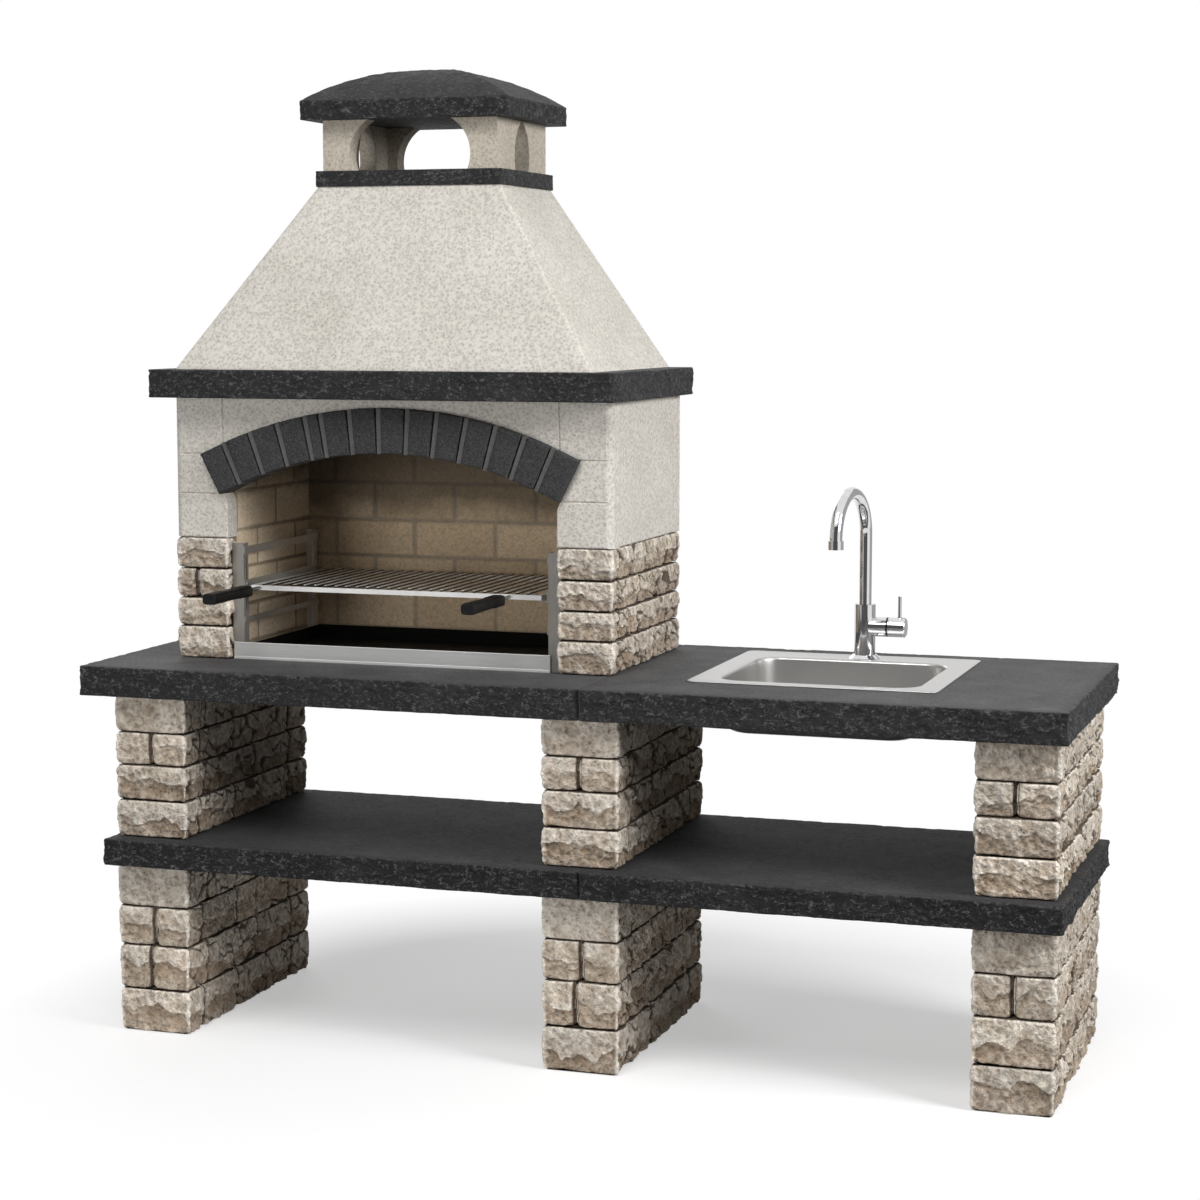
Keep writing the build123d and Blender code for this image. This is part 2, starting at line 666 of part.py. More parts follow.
front_post, front_bolt_y, screw_x = post(True)
rear_post, rear_bolt_y, _ = post(False)
bolt_places = (front_bolt_y, rear_bolt_y)
left_screws = [post_screw(screw_x, place) for place in bolt_places]
left_holes = [screw_hole(screw_x, place) for place in bolt_places]
right_holes = [mirrored(hole) for hole in left_holes]
counter_left = slab((-COUNTER_HALF_X, SLAB_JOINT_X), counter_y, COUNTER_TOP, COUNTER_T)
save("counter_left", counter_left - left_holes - right_holes)

slab_z = (SLAB_BOTTOM, COUNTER_TOP)
cutout_x = inset(BOWL_X, -CUTOUT_GAP)
cutout_y = inset(BOWL_Y, -CUTOUT_GAP)
counter_right = slab((SLAB_JOINT_X, COUNTER_HALF_X), counter_y, COUNTER_TOP, COUNTER_T)
counter_right -= rounded_plate(cutout_x, cutout_y, slab_z, BOWL_CORNER_R + CUTOUT_GAP)
counter_right -= rod_z(TAP_X, TAP_Y, slab_z, TAP_HOLE_R)
save("counter_right", counter_right)

save("left_fire_stones", *fire_stones(FIRE_LEFT_SPLITS))
save("right_fire_stones", *[mirrored(piece) for piece in fire_stones({})])

ring_y = (FIRE_FRONT - ARCH_PROUD, FRONT_INNER)
ring_space = arch_sector(ARCH_INNER_R - ARCH_RING, ARCH_OUTER_R, -ARCH_HALF_ANGLE, ARCH_HALF_ANGLE, ring_y)
blocks = front_blocks(ring_space)
save("left_front_blocks", *blocks)
save("right_front_blocks", *[mirrored(piece) for piece in blocks])

panel_x = (FIRE_LEFT, MOUTH_LEFT - BRICK_T)
panel = block(panel_x, (FRONT_INNER, BACK_INNER), (STONE_TOP, MANTEL_BOTTOM))
panel = chamfer(panel.faces().sort_by(Axis.X)[0].edges(), BLOCK_EDGE)
save("left_side_panel", panel)
save("right_side_panel", mirrored(panel))

back_y = (BACK_INNER, FIRE_BACK)
back_wall = block((FIRE_LEFT, FIRE_RIGHT), back_y, (STONE_TOP, MANTEL_BOTTOM))
back_wall = chamfer(back_wall.edges().filter_by(Axis.Z), BLOCK_EDGE)
back_wall += block((MOUTH_LEFT - BRICK_T, MOUTH_RIGHT + BRICK_T), back_y, (COUNTER_TOP, STONE_TOP))
save("back_wall", back_wall)

lintel_x = (FIRE_X - LINTEL_HALF, FIRE_X + LINTEL_HALF)
lintel = block(lintel_x, (FIRE_FRONT, FRONT_INNER), (SPRING_Z, MANTEL_BOTTOM))
lintel = chamfer(lintel.faces().sort_by(Axis.Y)[0].edges(), BLOCK_EDGE)
save("lintel_panel", lintel - rod_y(FIRE_X, (FIRE_FRONT, FRONT_INNER), ARCH_Z, ARCH_OUTER_R))

joints = ARCH_STONES * ARCH_JOINT_ANGLE
stone_angle = (2 * ARCH_HALF_ANGLE - ARCH_SLIVER_ANGLE - joints) / ARCH_STONES
mortar_y = (ring_y[0] + ARCH_JOINT_DEPTH, ring_y[1])
widths = [stone_angle] * ARCH_STONES
widths.insert(round(SLIVER_PLACE * ARCH_STONES), ARCH_SLIVER_ANGLE)
voussoirs = []
mortar = []
angle = -ARCH_HALF_ANGLE
for width in widths:
    wedge = arch_sector(ARCH_INNER_R, ARCH_OUTER_R, angle, angle + width, ring_y)
    voussoirs.append(chamfer(wedge.faces().sort_by(Axis.Y)[0].edges(), ARCH_EDGE))
    angle += width
    if len(voussoirs) < len(widths):
        filler = arch_sector(ARCH_INNER_R, ARCH_OUTER_R, angle, angle + ARCH_JOINT_ANGLE, mortar_y)
        mortar.append(filler)
        angle += ARCH_JOINT_ANGLE
save("arch_stones", *voussoirs)
save("arch_mortar", *mortar)

save("rear_firebrick", rear_lining())
lining = side_lining()
save("left_firebrick", lining)
save("right_firebrick", mirrored(lining))

mantel = slab((FIRE_X - MANTEL_HALF, FIRE_X + MANTEL_HALF), MANTEL_Y, MANTEL_TOP, MANTEL_T)
mantel_flue_x = (MOUTH_LEFT + FLUE_LEDGE_SIDE, MOUTH_RIGHT - FLUE_LEDGE_SIDE)
save("mantel_slab", mantel - block(mantel_flue_x, FLUE_Y, (MANTEL_BOTTOM, MANTEL_TOP)))

hood_z = (MANTEL_TOP, HOOD_TOP)
hood = frustum(HOOD_BASE_HALF, HOOD_BASE_Y, HOOD_TOP_HALF, HOOD_TOP_Y, hood_z)
hollow_base = (HOOD_BASE_HALF - HOOD_WALL, inset(HOOD_BASE_Y, HOOD_WALL))
hollow_top = (HOOD_TOP_HALF - HOOD_WALL, inset(HOOD_TOP_Y, HOOD_WALL))
save("hood", hood - frustum(*hollow_base, *hollow_top, hood_z))

collar_half = HOOD_TOP_HALF + COLLAR_LEDGE
collar_y = inset(HOOD_TOP_Y, -COLLAR_LEDGE)
collar = slab((FIRE_X - collar_half, FIRE_X + collar_half), collar_y, COLLAR_TOP, COLLAR_T)
flue_x = around(FIRE_X, 2 * hollow_top[0])
save("chimney_collar", collar - block(flue_x, hollow_top[1], (HOOD_TOP, COLLAR_TOP)))

chimney_half = HOOD_TOP_HALF - CHIMNEY_INSET
chimney_y = inset(HOOD_TOP_Y, CHIMNEY_INSET)
save("chimney_posts", chimney_posts(chimney_half, chimney_y))
save("chimney_cap", chimney_cap(chimney_half + CAP_OVERHANG, inset(chimney_y, -CAP_OVERHANG)))

save("left_posts", front_post, rear_post)
save("right_posts", mirrored(front_post), mirrored(rear_post))
save("post_screws", *left_screws, *[mirrored(screw) for screw in left_screws])
left_rails = [fixed_rail(UPPER_RAIL_H), fixed_rail(LOWER_RAIL_H)]
save("left_rails", *left_rails)
save("right_rails", *[mirrored(rail) for rail in left_rails])

left_runner = runner(bolt_places)
save("left_runner", left_runner)
save("right_runner", mirrored(left_runner))
bolts = [runner_bolt(place) for place in bolt_places]
nuts = [runner_nut(place) for place in bolt_places]
save("runner_bolts", *bolts, *[mirrored(bolt) for bolt in bolts])
save("runner_nuts", *nuts, *[mirrored(nut) for nut in nuts])

grate_x = (FIRE_X - GRATE_HALF, FIRE_X + GRATE_HALF)
grate_z = (RUNNER_TOP, RUNNER_TOP + GRATE_BAR_H)
frame = block(grate_x, GRATE_Y, grate_z)
frame -= block(inset(grate_x, GRATE_BAR_T), inset(GRATE_Y, GRATE_BAR_T), grate_z)
save("grate_frame", frame)
rod_z_mid = grate_z[1] + GRATE_ROD_R
rod_pitch = (2 * GRATE_HALF - 2 * GRATE_BAR_T) / (GRATE_RODS + 1)
rods = []
for count in range(GRATE_RODS):
    rod_place = grate_x[0] + GRATE_BAR_T + (count + 1) * rod_pitch
    rods.append(rod_y(rod_place, GRATE_Y, rod_z_mid, GRATE_ROD_R))
save("grate_rods", *rods)
handle_z = sum(grate_z) / 2
handle_x = (grate_x[0] + HANDLE_FROM_LEFT, grate_x[1] - HANDLE_FROM_RIGHT)
rod_span = (GRATE_Y[0] - HANDLE_ROD_REACH, GRATE_Y[0])
save("handle_rods", *[rod_y(x, rod_span, handle_z, HANDLE_ROD_R) for x in handle_x])
save("handle_grips", *[grip(x, GRATE_Y[0] - GRIP_START, handle_z) for x in handle_x])

tray_x = around(FIRE_X, 2 * TRAY_HALF)
tray = block(tray_x, TRAY_Y, (COUNTER_TOP, COUNTER_TOP + TRAY_H))
tray_inside = (COUNTER_TOP + TRAY_SHEET, COUNTER_TOP + TRAY_H)
save("ember_tray", tray - block(inset(tray_x, TRAY_SHEET), inset(TRAY_Y, TRAY_SHEET), tray_inside))
fender_x = (MOUTH_LEFT + FENDER_GAP_LEFT, MOUTH_RIGHT - FENDER_GAP_RIGHT)
fender_y = (TRAY_Y[0] - FENDER_T, TRAY_Y[0])
save("tray_fender", block(fender_x, fender_y, (COUNTER_TOP, COUNTER_TOP + FENDER_H)))

seal_x = inset(SINK_X, SEAL_INSET)
seal_y = inset(SINK_Y, SEAL_INSET)
seal_z = (COUNTER_TOP, RIM_BOTTOM)
seal = rounded_plate(seal_x, seal_y, seal_z, SINK_CORNER_R - SEAL_INSET)
seal -= rounded_plate(inset(seal_x, SEAL_W), inset(seal_y, SEAL_W), seal_z, SEAL_INSET)
save("sink_seal", seal)
bowl_outside = bowl(SHEET)
rim = rounded_plate(SINK_X, SINK_Y, (RIM_BOTTOM, RIM_TOP), SINK_CORNER_R) - bowl_outside
save("sink_rim", rim - rod_z(TAP_X, TAP_Y, (RIM_BOTTOM, RIM_TOP), TAP_HOLE_R))
bowl_shell = bowl_outside - bowl(0)
save("sink_bowl", bowl_shell - rod_z(*BOWL_MID, (BOWL_UNDER, BOWL_FLOOR), WASTE_R))

cup_r = WASTE_R - LOOSE_FIT
cup_floor = (WASTE_BOTTOM, WASTE_BOTTOM + SHEET)
cup = ring_z(*BOWL_MID, (BOWL_FLOOR, BOWL_FLOOR + SHEET), WASTE_FLANGE_R, cup_r - SHEET)
cup += ring_z(*BOWL_MID, (WASTE_BOTTOM, BOWL_FLOOR + SHEET), cup_r, cup_r - SHEET)
cup += ring_z(*BOWL_MID, cup_floor, cup_r, WASTE_OUTLET_R - 2 * SHEET)
outlet_z = (WASTE_BOTTOM - WASTE_OUTLET_L, WASTE_BOTTOM)
cup += ring_z(*BOWL_MID, outlet_z, WASTE_OUTLET_R, WASTE_OUTLET_R - 2 * SHEET)
save("waste_cup", cup)
nut_z = (BOWL_UNDER - WASTE_NUT_T, BOWL_UNDER)
save("waste_nut", ring_z(*BOWL_MID, nut_z, WASTE_NUT_R, cup_r + LOOSE_FIT))
basket_floor = cup_floor[1]
basket = rod_z(*BOWL_MID, (basket_floor, basket_floor + SHEET), BASKET_R)
basket += ring_z(*BOWL_MID, (basket_floor, BOWL_FLOOR), BASKET_R, BASKET_R - SHEET)
basket -= [
    Pos(*BOWL_MID, basket_floor + SHEET / 2) * shape
    for radius, holes in BASKET_HOLE_RINGS
    for shape in PolarLocations(radius, holes) * Cylinder(BASKET_HOLE_R, SHEET)
]
stem_top = BOWL_FLOOR + BASKET_STEM_H
basket += rod_z(*BOWL_MID, (basket_floor, stem_top), BASKET_STEM_R)
basket += rod_z(*BOWL_MID, (stem_top, stem_top + BASKET_KNOB_H), BASKET_KNOB_R)
save("waste_basket", basket)

body_low = RIM_TOP + TAP_BASE_H
body_high = body_low + TAP_BODY_H
valve_z = body_low + VALVE_H
cone = Cone(TAP_BASE_R, TAP_BODY_R + TAP_BASE_LEDGE, TAP_BASE_H)
base = Pos(TAP_X, TAP_Y, RIM_TOP + TAP_BASE_H / 2) * cone
save("tap_base", base - rod_z(TAP_X, TAP_Y, (RIM_TOP, body_low), TAP_SHANK_R + LOOSE_FIT))

shank_low = SLAB_BOTTOM - TAP_WASHER_T - TAP_NUT_T - TAP_SHANK_TAIL
shank_z = (shank_low, body_low + TAP_SHANK_UP)
shank = rod_z(TAP_X, TAP_Y, shank_z, TAP_SHANK_R)
for offset in (-TAP_INLET_OFFSET, TAP_INLET_OFFSET):
    shank -= rod_z(TAP_X + offset, TAP_Y, (shank_z[0], shank_z[0] + TAP_INLET_L), TAP_INLET_R)
save("tap_shank", shank)

valve_end = TAP_X + VALVE_REACH
tap_body = rod_z(TAP_X, TAP_Y, (body_low, body_high), TAP_BODY_R)
tap_body += rod_x((TAP_X, valve_end), TAP_Y, valve_z, VALVE_R)
tap_body -= rod_z(TAP_X, TAP_Y, (body_low, shank_z[1]), TAP_SHANK_R + LOOSE_FIT)
socket_z = (body_high - SPOUT_SPIGOT_L, body_high)
tap_body -= rod_z(TAP_X, TAP_Y, socket_z, SPOUT_SPIGOT_R + RUN_FIT)
cartridge_x = (valve_end - CARTRIDGE_L, valve_end)
tap_body -= rod_x(cartridge_x, TAP_Y, valve_z, CARTRIDGE_R + LOOSE_FIT)
save("tap_body", tap_body)

cartridge = rod_x(cartridge_x, TAP_Y, valve_z, CARTRIDGE_R)
hub_end = valve_end + CAP_GAP + CAP_HUB_L
cartridge += rod_x((valve_end, hub_end), TAP_Y, valve_z, CAP_HUB_R)
save("tap_cartridge", cartridge)

cap_x = (valve_end + CAP_GAP, valve_end + CAP_GAP + CAP_L)
valve_cap = rod_x(cap_x, TAP_Y, valve_z, VALVE_R)
valve_cap = fillet(valve_cap.edges().sort_by(Axis.X)[-1], CAP_ROUND)
valve_cap -= rod_x((cap_x[0], hub_end + PLAY), TAP_Y, valve_z, CAP_HUB_R + RUN_FIT)
slot_x = (TAP_X + LEVER_SLOT_X[0], TAP_X + LEVER_SLOT_X[1])
slot_z = (valve_z - math.hypot(LEVER_FOOT, LEVER_R) - PLAY, valve_z + VALVE_R)
valve_cap -= block(slot_x, around(TAP_Y, 2 * (LEVER_R + PLAY)), slot_z)
pin_y = around(TAP_Y, 2 * LEVER_PIN_HALF)
lever_place = TAP_X + LEVER_X
valve_cap -= rod_y(lever_place, pin_y, valve_z, LEVER_PIN_R)
save("tap_valve_cap", valve_cap)
save("tap_lever_pin", rod_y(lever_place, pin_y, valve_z, LEVER_PIN_R))

lever = rod_z(lever_place, TAP_Y, (valve_z - LEVER_FOOT, valve_z + LEVER_TOP), LEVER_R)
lever = fillet(lever.edges().sort_by(Axis.Z)[-1], LEVER_ROUND)
save("tap_lever", lever - rod_y(lever_place, around(TAP_Y, 4 * LEVER_R), valve_z, LEVER_PIN_R + RUN_FIT))

spout_tube, aerator = spout()
save("tap_spout", spout_tube)
save("tap_aerator", aerator)

washer_z = (SLAB_BOTTOM - TAP_WASHER_T, SLAB_BOTTOM)
save("tap_washer", ring_z(TAP_X, TAP_Y, washer_z, TAP_WASHER_R, TAP_SHANK_R + LOOSE_FIT))
prism = extrude(RegularPolygon(TAP_NUT_ACROSS / 2, 6, major_radius=False), TAP_NUT_T)
tap_nut_z = (washer_z[0] - TAP_NUT_T, washer_z[0])
tap_nut = Pos(TAP_X, TAP_Y, tap_nut_z[0]) * prism
save("tap_nut", tap_nut - rod_z(TAP_X, TAP_Y, tap_nut_z, TAP_SHANK_R + LOOSE_FIT))
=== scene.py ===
"""Looks of the stone grill station with sink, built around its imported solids.

Metres, +Z up, X along the counter, -Y towards the user.
Each new surface is worked out as whole arrays: rings of points joined into a skin, or a grid of points.
"""
import json
import math

import bpy
import numpy as np
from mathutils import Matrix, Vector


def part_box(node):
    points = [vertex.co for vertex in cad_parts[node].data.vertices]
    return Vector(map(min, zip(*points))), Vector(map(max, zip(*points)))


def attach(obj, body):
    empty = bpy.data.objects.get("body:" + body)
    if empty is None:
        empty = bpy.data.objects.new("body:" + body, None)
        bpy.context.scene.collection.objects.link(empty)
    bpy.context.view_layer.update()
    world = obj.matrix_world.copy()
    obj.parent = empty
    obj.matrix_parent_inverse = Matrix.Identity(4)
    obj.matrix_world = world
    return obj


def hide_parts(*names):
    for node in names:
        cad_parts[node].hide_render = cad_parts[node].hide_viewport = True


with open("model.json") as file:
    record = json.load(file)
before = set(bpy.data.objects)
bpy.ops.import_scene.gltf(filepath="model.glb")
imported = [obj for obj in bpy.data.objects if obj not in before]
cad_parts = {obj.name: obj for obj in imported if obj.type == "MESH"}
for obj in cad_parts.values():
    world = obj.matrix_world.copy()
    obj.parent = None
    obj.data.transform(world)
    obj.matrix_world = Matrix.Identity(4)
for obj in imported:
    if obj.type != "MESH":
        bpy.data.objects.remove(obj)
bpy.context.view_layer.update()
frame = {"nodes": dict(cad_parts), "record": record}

# Stone courses and joints, as parts of the height or length they divide
LOWER_COURSES = (0.0, 0.254, 0.513, 0.744, 1.0)
UPPER_COURSES = (0.0, 0.262, 0.509, 0.738, 1.0)
PIER_SIDE_JOINTS = ((0.123, 0.393, 0.844), (0.163, 0.558, 0.853))
PIER_FRONT_SPLITS = {
    "left_pier_lower": {1: 0.45, 2: 0.51},
    "left_pier_upper": {2: 0.50},
    "middle_pier_lower": {1: 0.43, 2: 0.51},
    "middle_pier_upper": {2: 0.48},
    "right_pier_lower": {2: 0.49},
    "right_pier_upper": {2: 0.485},
}
FIRE_COURSES = (0.0, 0.267, 0.502, 0.744, 1.0)
FIRE_SIDE_JOINTS = ((0.26, 0.57, 0.80), (0.17, 0.39, 0.69), (0.34, 0.65), (0.22, 0.44, 0.79))
FIRE_FRONT_SPLITS = {"left_fire_stones": {2: 0.385}, "right_fire_stones": {}}
PIER_RELIEF = (1.0, 1.0, 0.90, 0.76)
FIRE_RELIEF = 0.92
STONE_STEP = 0.0033
STONE_CORNER = 0.004
STONE_ARRIS = 0.006
STONE_GAP = 0.0012

# Slabs
SLAB_STEP = 0.0028
SLAB_CORNER = 0.004
SLAB_BORDER = 0.03
SLAB_GAP = 0.001
SLAB_TOP_CLEAR = 0.0003
SLAB_LEVELS = ((0.80, 0.0042, 0.016), (0.52, 0.0036, 0.012), (0.27, 0.0034, 0.012))
LEFT_SLAB = (True, False, True, True)
RIGHT_SLAB = (True, True, True, False)
WHOLE_SLAB = (True, True, True, True)
CAP_RIM = 0.042

# Hood and flues
HOOD_WALL = 0.045
HOOD_CORNER = 0.006
HOOD_INSET = 0.004
MANTEL_FLUE = np.array([[-0.77, -0.09], [-0.11, 0.23]])
COLLAR_FLUE = np.array([[-0.6175, -0.015], [-0.2625, 0.238]])

# Arch
ARCH_X = -0.44
ARCH_Z = 0.436
ARCH_RADII = (0.895, 0.997)
ARCH_MEAN = sum(ARCH_RADII) / 2
ARCH_HALF_ANGLE = math.asin(0.4098 / 0.895)
ARCH_STONES = 13
STONES_BEFORE_SLIVER = 4
ARCH_SLIVER_ANGLE = math.radians(1.5)
ARCH_JOINT_ANGLE = math.radians(0.8)
ARCH_GROOVE_ANGLE = math.radians(0.18)
ARCH_EDGE = 0.0022
ARCH_JOINT_SET_BACK = 0.0025
ARCH_JOINT_DEPTH = 0.010

# Firebricks
BRICK_H = 0.089
BRICK_L = 0.208
BRICK_FOOT_H = 0.028
BRICK_STEP = 0.004
MORTAR_HALF = 0.004
MORTAR_DEPTH = 0.003

# Sink and handles
SINK_SHEET = 0.0015
SINK_GAP = 0.008
SINK_HOLE_CORNER = 0.063
RIM_EDGE = 0.0018
RIM_CORNER = 0.018
LIP = 0.007
LIP_DROP = 0.0003
LIP_BORDER = 0.005
BOWL_CORNER = 0.055
BOWL_BEND = 0.030
BOWL_TAPER = math.tan(math.radians(3))
WASTE_RADIUS = 0.043
GRIP_WIDTH = 0.033

# Studio
CAMERA_PLACE = (1.8452, -5.5768, 1.6532)
CAMERA_TURN = (math.pi / 2 - 0.1113, 0, 0.3199)
CAMERA_LENS = 78.16
WORLD_LIGHT = 0.17
FLOOR_RADIUS = 30
FLOOR_CORNERS = 64
FLOOR_LIGHT = 0.16
FADE_UNIT = 5.0
PANEL_RADIUS = 6.2
PANEL_HEIGHT = 4.5
PANEL_COLUMNS = 12


def lattice(cells, seed):
    """Random numbers from 0 to 1 at whole-number places, mixed from their three counts and the seed."""
    mixed = cells[..., 0] * 374761393 + cells[..., 1] * 668265263 + cells[..., 2] * 1442695041
    mixed = (mixed + seed * 97531) & 0xFFFFFFFF
    mixed = ((mixed ^ (mixed >> 13)) * 1274126177) & 0xFFFFFFFF
    return (mixed ^ (mixed >> 16)) / 0xFFFFFFFF


def smooth_noise(points, size, seed):
    """Smooth field from -1 to 1: the eight lattice numbers round a point, blended by smooth steps."""
    scaled = points / size
    cells = np.floor(scaled).astype(np.int64)
    part = scaled - cells
    part = part * part * (3 - 2 * part)
    total = np.zeros(points.shape[:-1])
    for corner in np.ndindex(2, 2, 2):
        weight = np.where(corner, part, 1 - part).prod(-1)
        total += weight * lattice(cells + np.array(corner), seed)
    return 2 * total - 1


def layered_noise(points, size, seed, layers=3):
    """Sum of smooth fields, each half as large and half as high as the one before."""
    total = np.zeros(points.shape[:-1])
    for layer in range(layers):
        total += smooth_noise(points, size / 2 ** layer, seed + 17 * layer) / 2 ** layer
    return total / 1.6


def broken_line(place, spacing, seed):
    """Ragged line from -1 to 1: random heights at even places, joined by straight lines."""
    scaled = place / spacing
    start = np.floor(scaled).astype(np.int64)
    still = np.zeros_like(start)
    first, second = (lattice(np.stack([start + count, still, still], -1), seed) for count in (0, 1))
    return 2 * (first + (second - first) * (scaled - start)) - 1


def set_back(below, drop, reach):
    """How far a broken face lies back: a sharp drop just below a ragged level, which eases off over a reach."""
    below = np.clip(below, 0, None)
    return drop * smooth_step(below, 0.0, 0.003) * np.exp(-below / reach)


def chip_cells(points, size, seed):
    """Squared distances to the nearest and second nearest of the random centres, one in each cell.

    The first is hollow marks that meet in sharp ridges; the roots of both are equal along cracks between cells.
    """
    scaled = points / size
    cells = np.floor(scaled).astype(np.int64)
    first = np.full(points.shape[:-1], 9.0)
    second = first.copy()
    for shift in np.ndindex(3, 3, 3):
        place = cells + np.array(shift) - 1
        centre = place + np.stack([lattice(place, seed + 31 * axis) for axis in range(3)], -1)
        far = ((scaled - centre) ** 2).sum(-1)
        second = np.minimum(second, np.maximum(first, far))
        first = np.minimum(first, far)
    return first, second


def scallops(points, size, seed):
    """Chip marks from 0 to about 1: hollows that meet in sharp ridges."""
    return chip_cells(points, size, seed)[0]


def smooth_step(value, low, high):
    """0 below low, 1 above high and a smooth rise between."""
    part = np.clip((value - low) / (high - low), 0, 1)
    return part * part * (3 - 2 * part)


def columns_round(counts, bend=3):
    """Places round a rounded rectangle, anticlockwise from its front left corner.

    Gives the side's number, the part along the side, and the outward direction, which turns in the corners.
    """
    side = np.concatenate([np.full(count + bend, k) for k, count in enumerate(counts)])
    part = np.concatenate([np.append(np.linspace(0, 1, count + 1), np.ones(bend - 1)) for count in counts])
    turns = [np.append(np.zeros(count + 1), np.arange(1, bend) / bend) + k - 1 for k, count in enumerate(counts)]
    angle = np.concatenate(turns) * math.pi / 2
    return side, part, np.stack([np.cos(angle), np.sin(angle)], -1)


def outline(columns, low, high, radius):
    """Points of a rounded rectangle: along the lines between corner centres, then outward by the radius."""
    side, part, out = columns
    inner = np.array([low[0], low[1], high[0], high[1]]) + radius * np.array([1, 1, -1, -1])
    centres = inner[np.array([[0, 1], [2, 1], [2, 3], [0, 3]])]
    start = centres[side]
    stop = centres[(side + 1) % 4]
    return start + (stop - start) * part[:, None] + radius * out


def joint_columns(columns, shown):
    """Which column's offset each column takes and the direction it moves in.

    Columns of hidden sides follow the shown side that they meet, and at such a joint all move square to it.
    """
    side, part, out = columns
    is_shown = np.array(shown)
    first = np.searchsorted(side, np.arange(4))
    last = np.append(first[1:], len(side)) - 1
    before = is_shown[(side - 1) % 4]
    after = is_shown[(side + 1) % 4]
    source = np.arange(len(side))
    source = np.where(~is_shown[side] & before & (part == 0), last[(side - 1) % 4], source)
    source = np.where(~is_shown[side] & after & (part == 1), first[(side + 1) % 4], source)
    at_joint = ((part == 0) & ~before | (part == 1) & ~after)[source] & is_shown[side[source]]
    square = np.array([[0.0, -1.0], [1.0, 0.0], [0.0, 1.0], [-1.0, 0.0]])[side[source]]
    return source, np.where(at_joint[:, None], square, out)


def from_end(columns, lengths, counted):
    """Distance along a side from its nearest end at which the next side is one of those counted."""
    side, part, _ = columns
    reach = lengths[side]
    start = np.where(counted[(side - 1) % 4], part * reach, 1.0)
    return np.minimum(start, np.where(counted[(side + 1) % 4], (1 - part) * reach, 1.0))


def way_round(plan):
    """Distance along plan points from the first one."""
    return np.append(0.0, np.cumsum(np.linalg.norm(np.diff(plan, axis=0), axis=1)))


def lift(plan, height):
    """Ring of points from plan points and one height or one height per point."""
    return np.column_stack([plan, np.broadcast_to(height, len(plan))])


def raised(plan, heights):
    """Rings of plan points, at one height for each ring or for each point of it."""
    shape = (len(heights), len(plan))
    return np.stack([np.broadcast_to(value, shape) for value in (plan[:, 0], plan[:, 1], heights)], -1)


def skin(rings, looped=False, capped=True, **values):
    """Skin over rings of equal length: four-sided faces between neighbours.

    Its ends are flat faces, or the last ring is joined to the first, or it is left as an open sheet.
    Values are kept for each point.
    """
    rings = np.asarray(rings)
    index = np.arange(rings.shape[0] * rings.shape[1]).reshape(rings.shape[:2])
    ends = [index[0][::-1], index[-1]] if capped and not looped else []
    rows = np.vstack([index, index[:1]]) if looped else index
    after = np.roll(rows, -1, axis=1)
    faces = np.stack([rows[:-1], after[:-1], after[1:], rows[1:]], -1).reshape(-1, 4)
    kept = {key: np.broadcast_to(value, rings.shape[:2]).ravel() for key, value in values.items()}
    return {"points": rings.reshape(-1, 3), "faces": faces, "ends": ends, "values": kept}


def panel(front, back, **values):
    """Closed plate: a grid of points for its face, a border that goes back by a vector, and a flat rear face."""
    rows, columns = front.shape[:2]
    index = np.arange(rows * columns).reshape(rows, columns)
    faces = np.stack([index[:-1, :-1], index[:-1, 1:], index[1:, 1:], index[1:, :-1]], -1).reshape(-1, 4)
    border = np.concatenate([index[0, :-1], index[:-1, -1], index[-1, :0:-1], index[:0:-1, 0]])
    rear = rows * columns + np.arange(len(border))
    edge = np.stack([np.roll(border, -1), border, rear, np.roll(rear, -1)], -1)
    flat = front.reshape(-1, 3)
    points = np.vstack([flat, flat[border] + back])
    kept = {key: np.append(value.ravel(), value.ravel()[border]) for key, value in values.items()}
    return {"points": points, "faces": np.vstack([faces, edge]), "ends": [rear[::-1]], "values": kept}


def make_piece(name, skins, sharp=40):
    """One object from several skins, smooth but for edges sharper than an angle, with their values as attributes."""
    starts = np.cumsum([0] + [len(each["points"]) for each in skins])
    faces = []
    for each, start in zip(skins, starts):
        faces += (each["faces"] + start).tolist() + [(end + start).tolist() for end in each["ends"]]
    mesh = bpy.data.meshes.new(name)
    mesh.from_pydata(np.vstack([each["points"] for each in skins]).tolist(), [], faces)
    for key in skins[0]["values"]:
        numbers = np.concatenate([each["values"][key] for each in skins])
        mesh.attributes.new(key, "FLOAT", "POINT").data.foreach_set("value", numbers.astype(np.float32))
    mesh.polygons.foreach_set("use_smooth", np.ones(len(faces), bool))
    mesh.set_sharp_from_angle(angle=math.radians(sharp))
    piece = bpy.data.objects.new(name, mesh)
    bpy.context.scene.collection.objects.link(piece)
    return piece


def dress(piece, slot, nodes, body="station", finish=None):
    """Give a piece its slot's finish or one of its own, hide the nodes that it stands for, and attach it to its body.
    """
    piece.data.materials.append(finish or FINISHES[slot])
    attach(piece, body)
    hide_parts(*nodes)


def node_box(name):
    """Lowest and highest corner of a node as arrays."""
    low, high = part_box(name)
    return np.array(low), np.array(high)


def spans(parts, low, high):
    """Neighbouring (low, high) pairs cut at parts of a length."""
    cuts = low + (high - low) * np.array(parts)
    return list(zip(cuts[:-1], cuts[1:]))


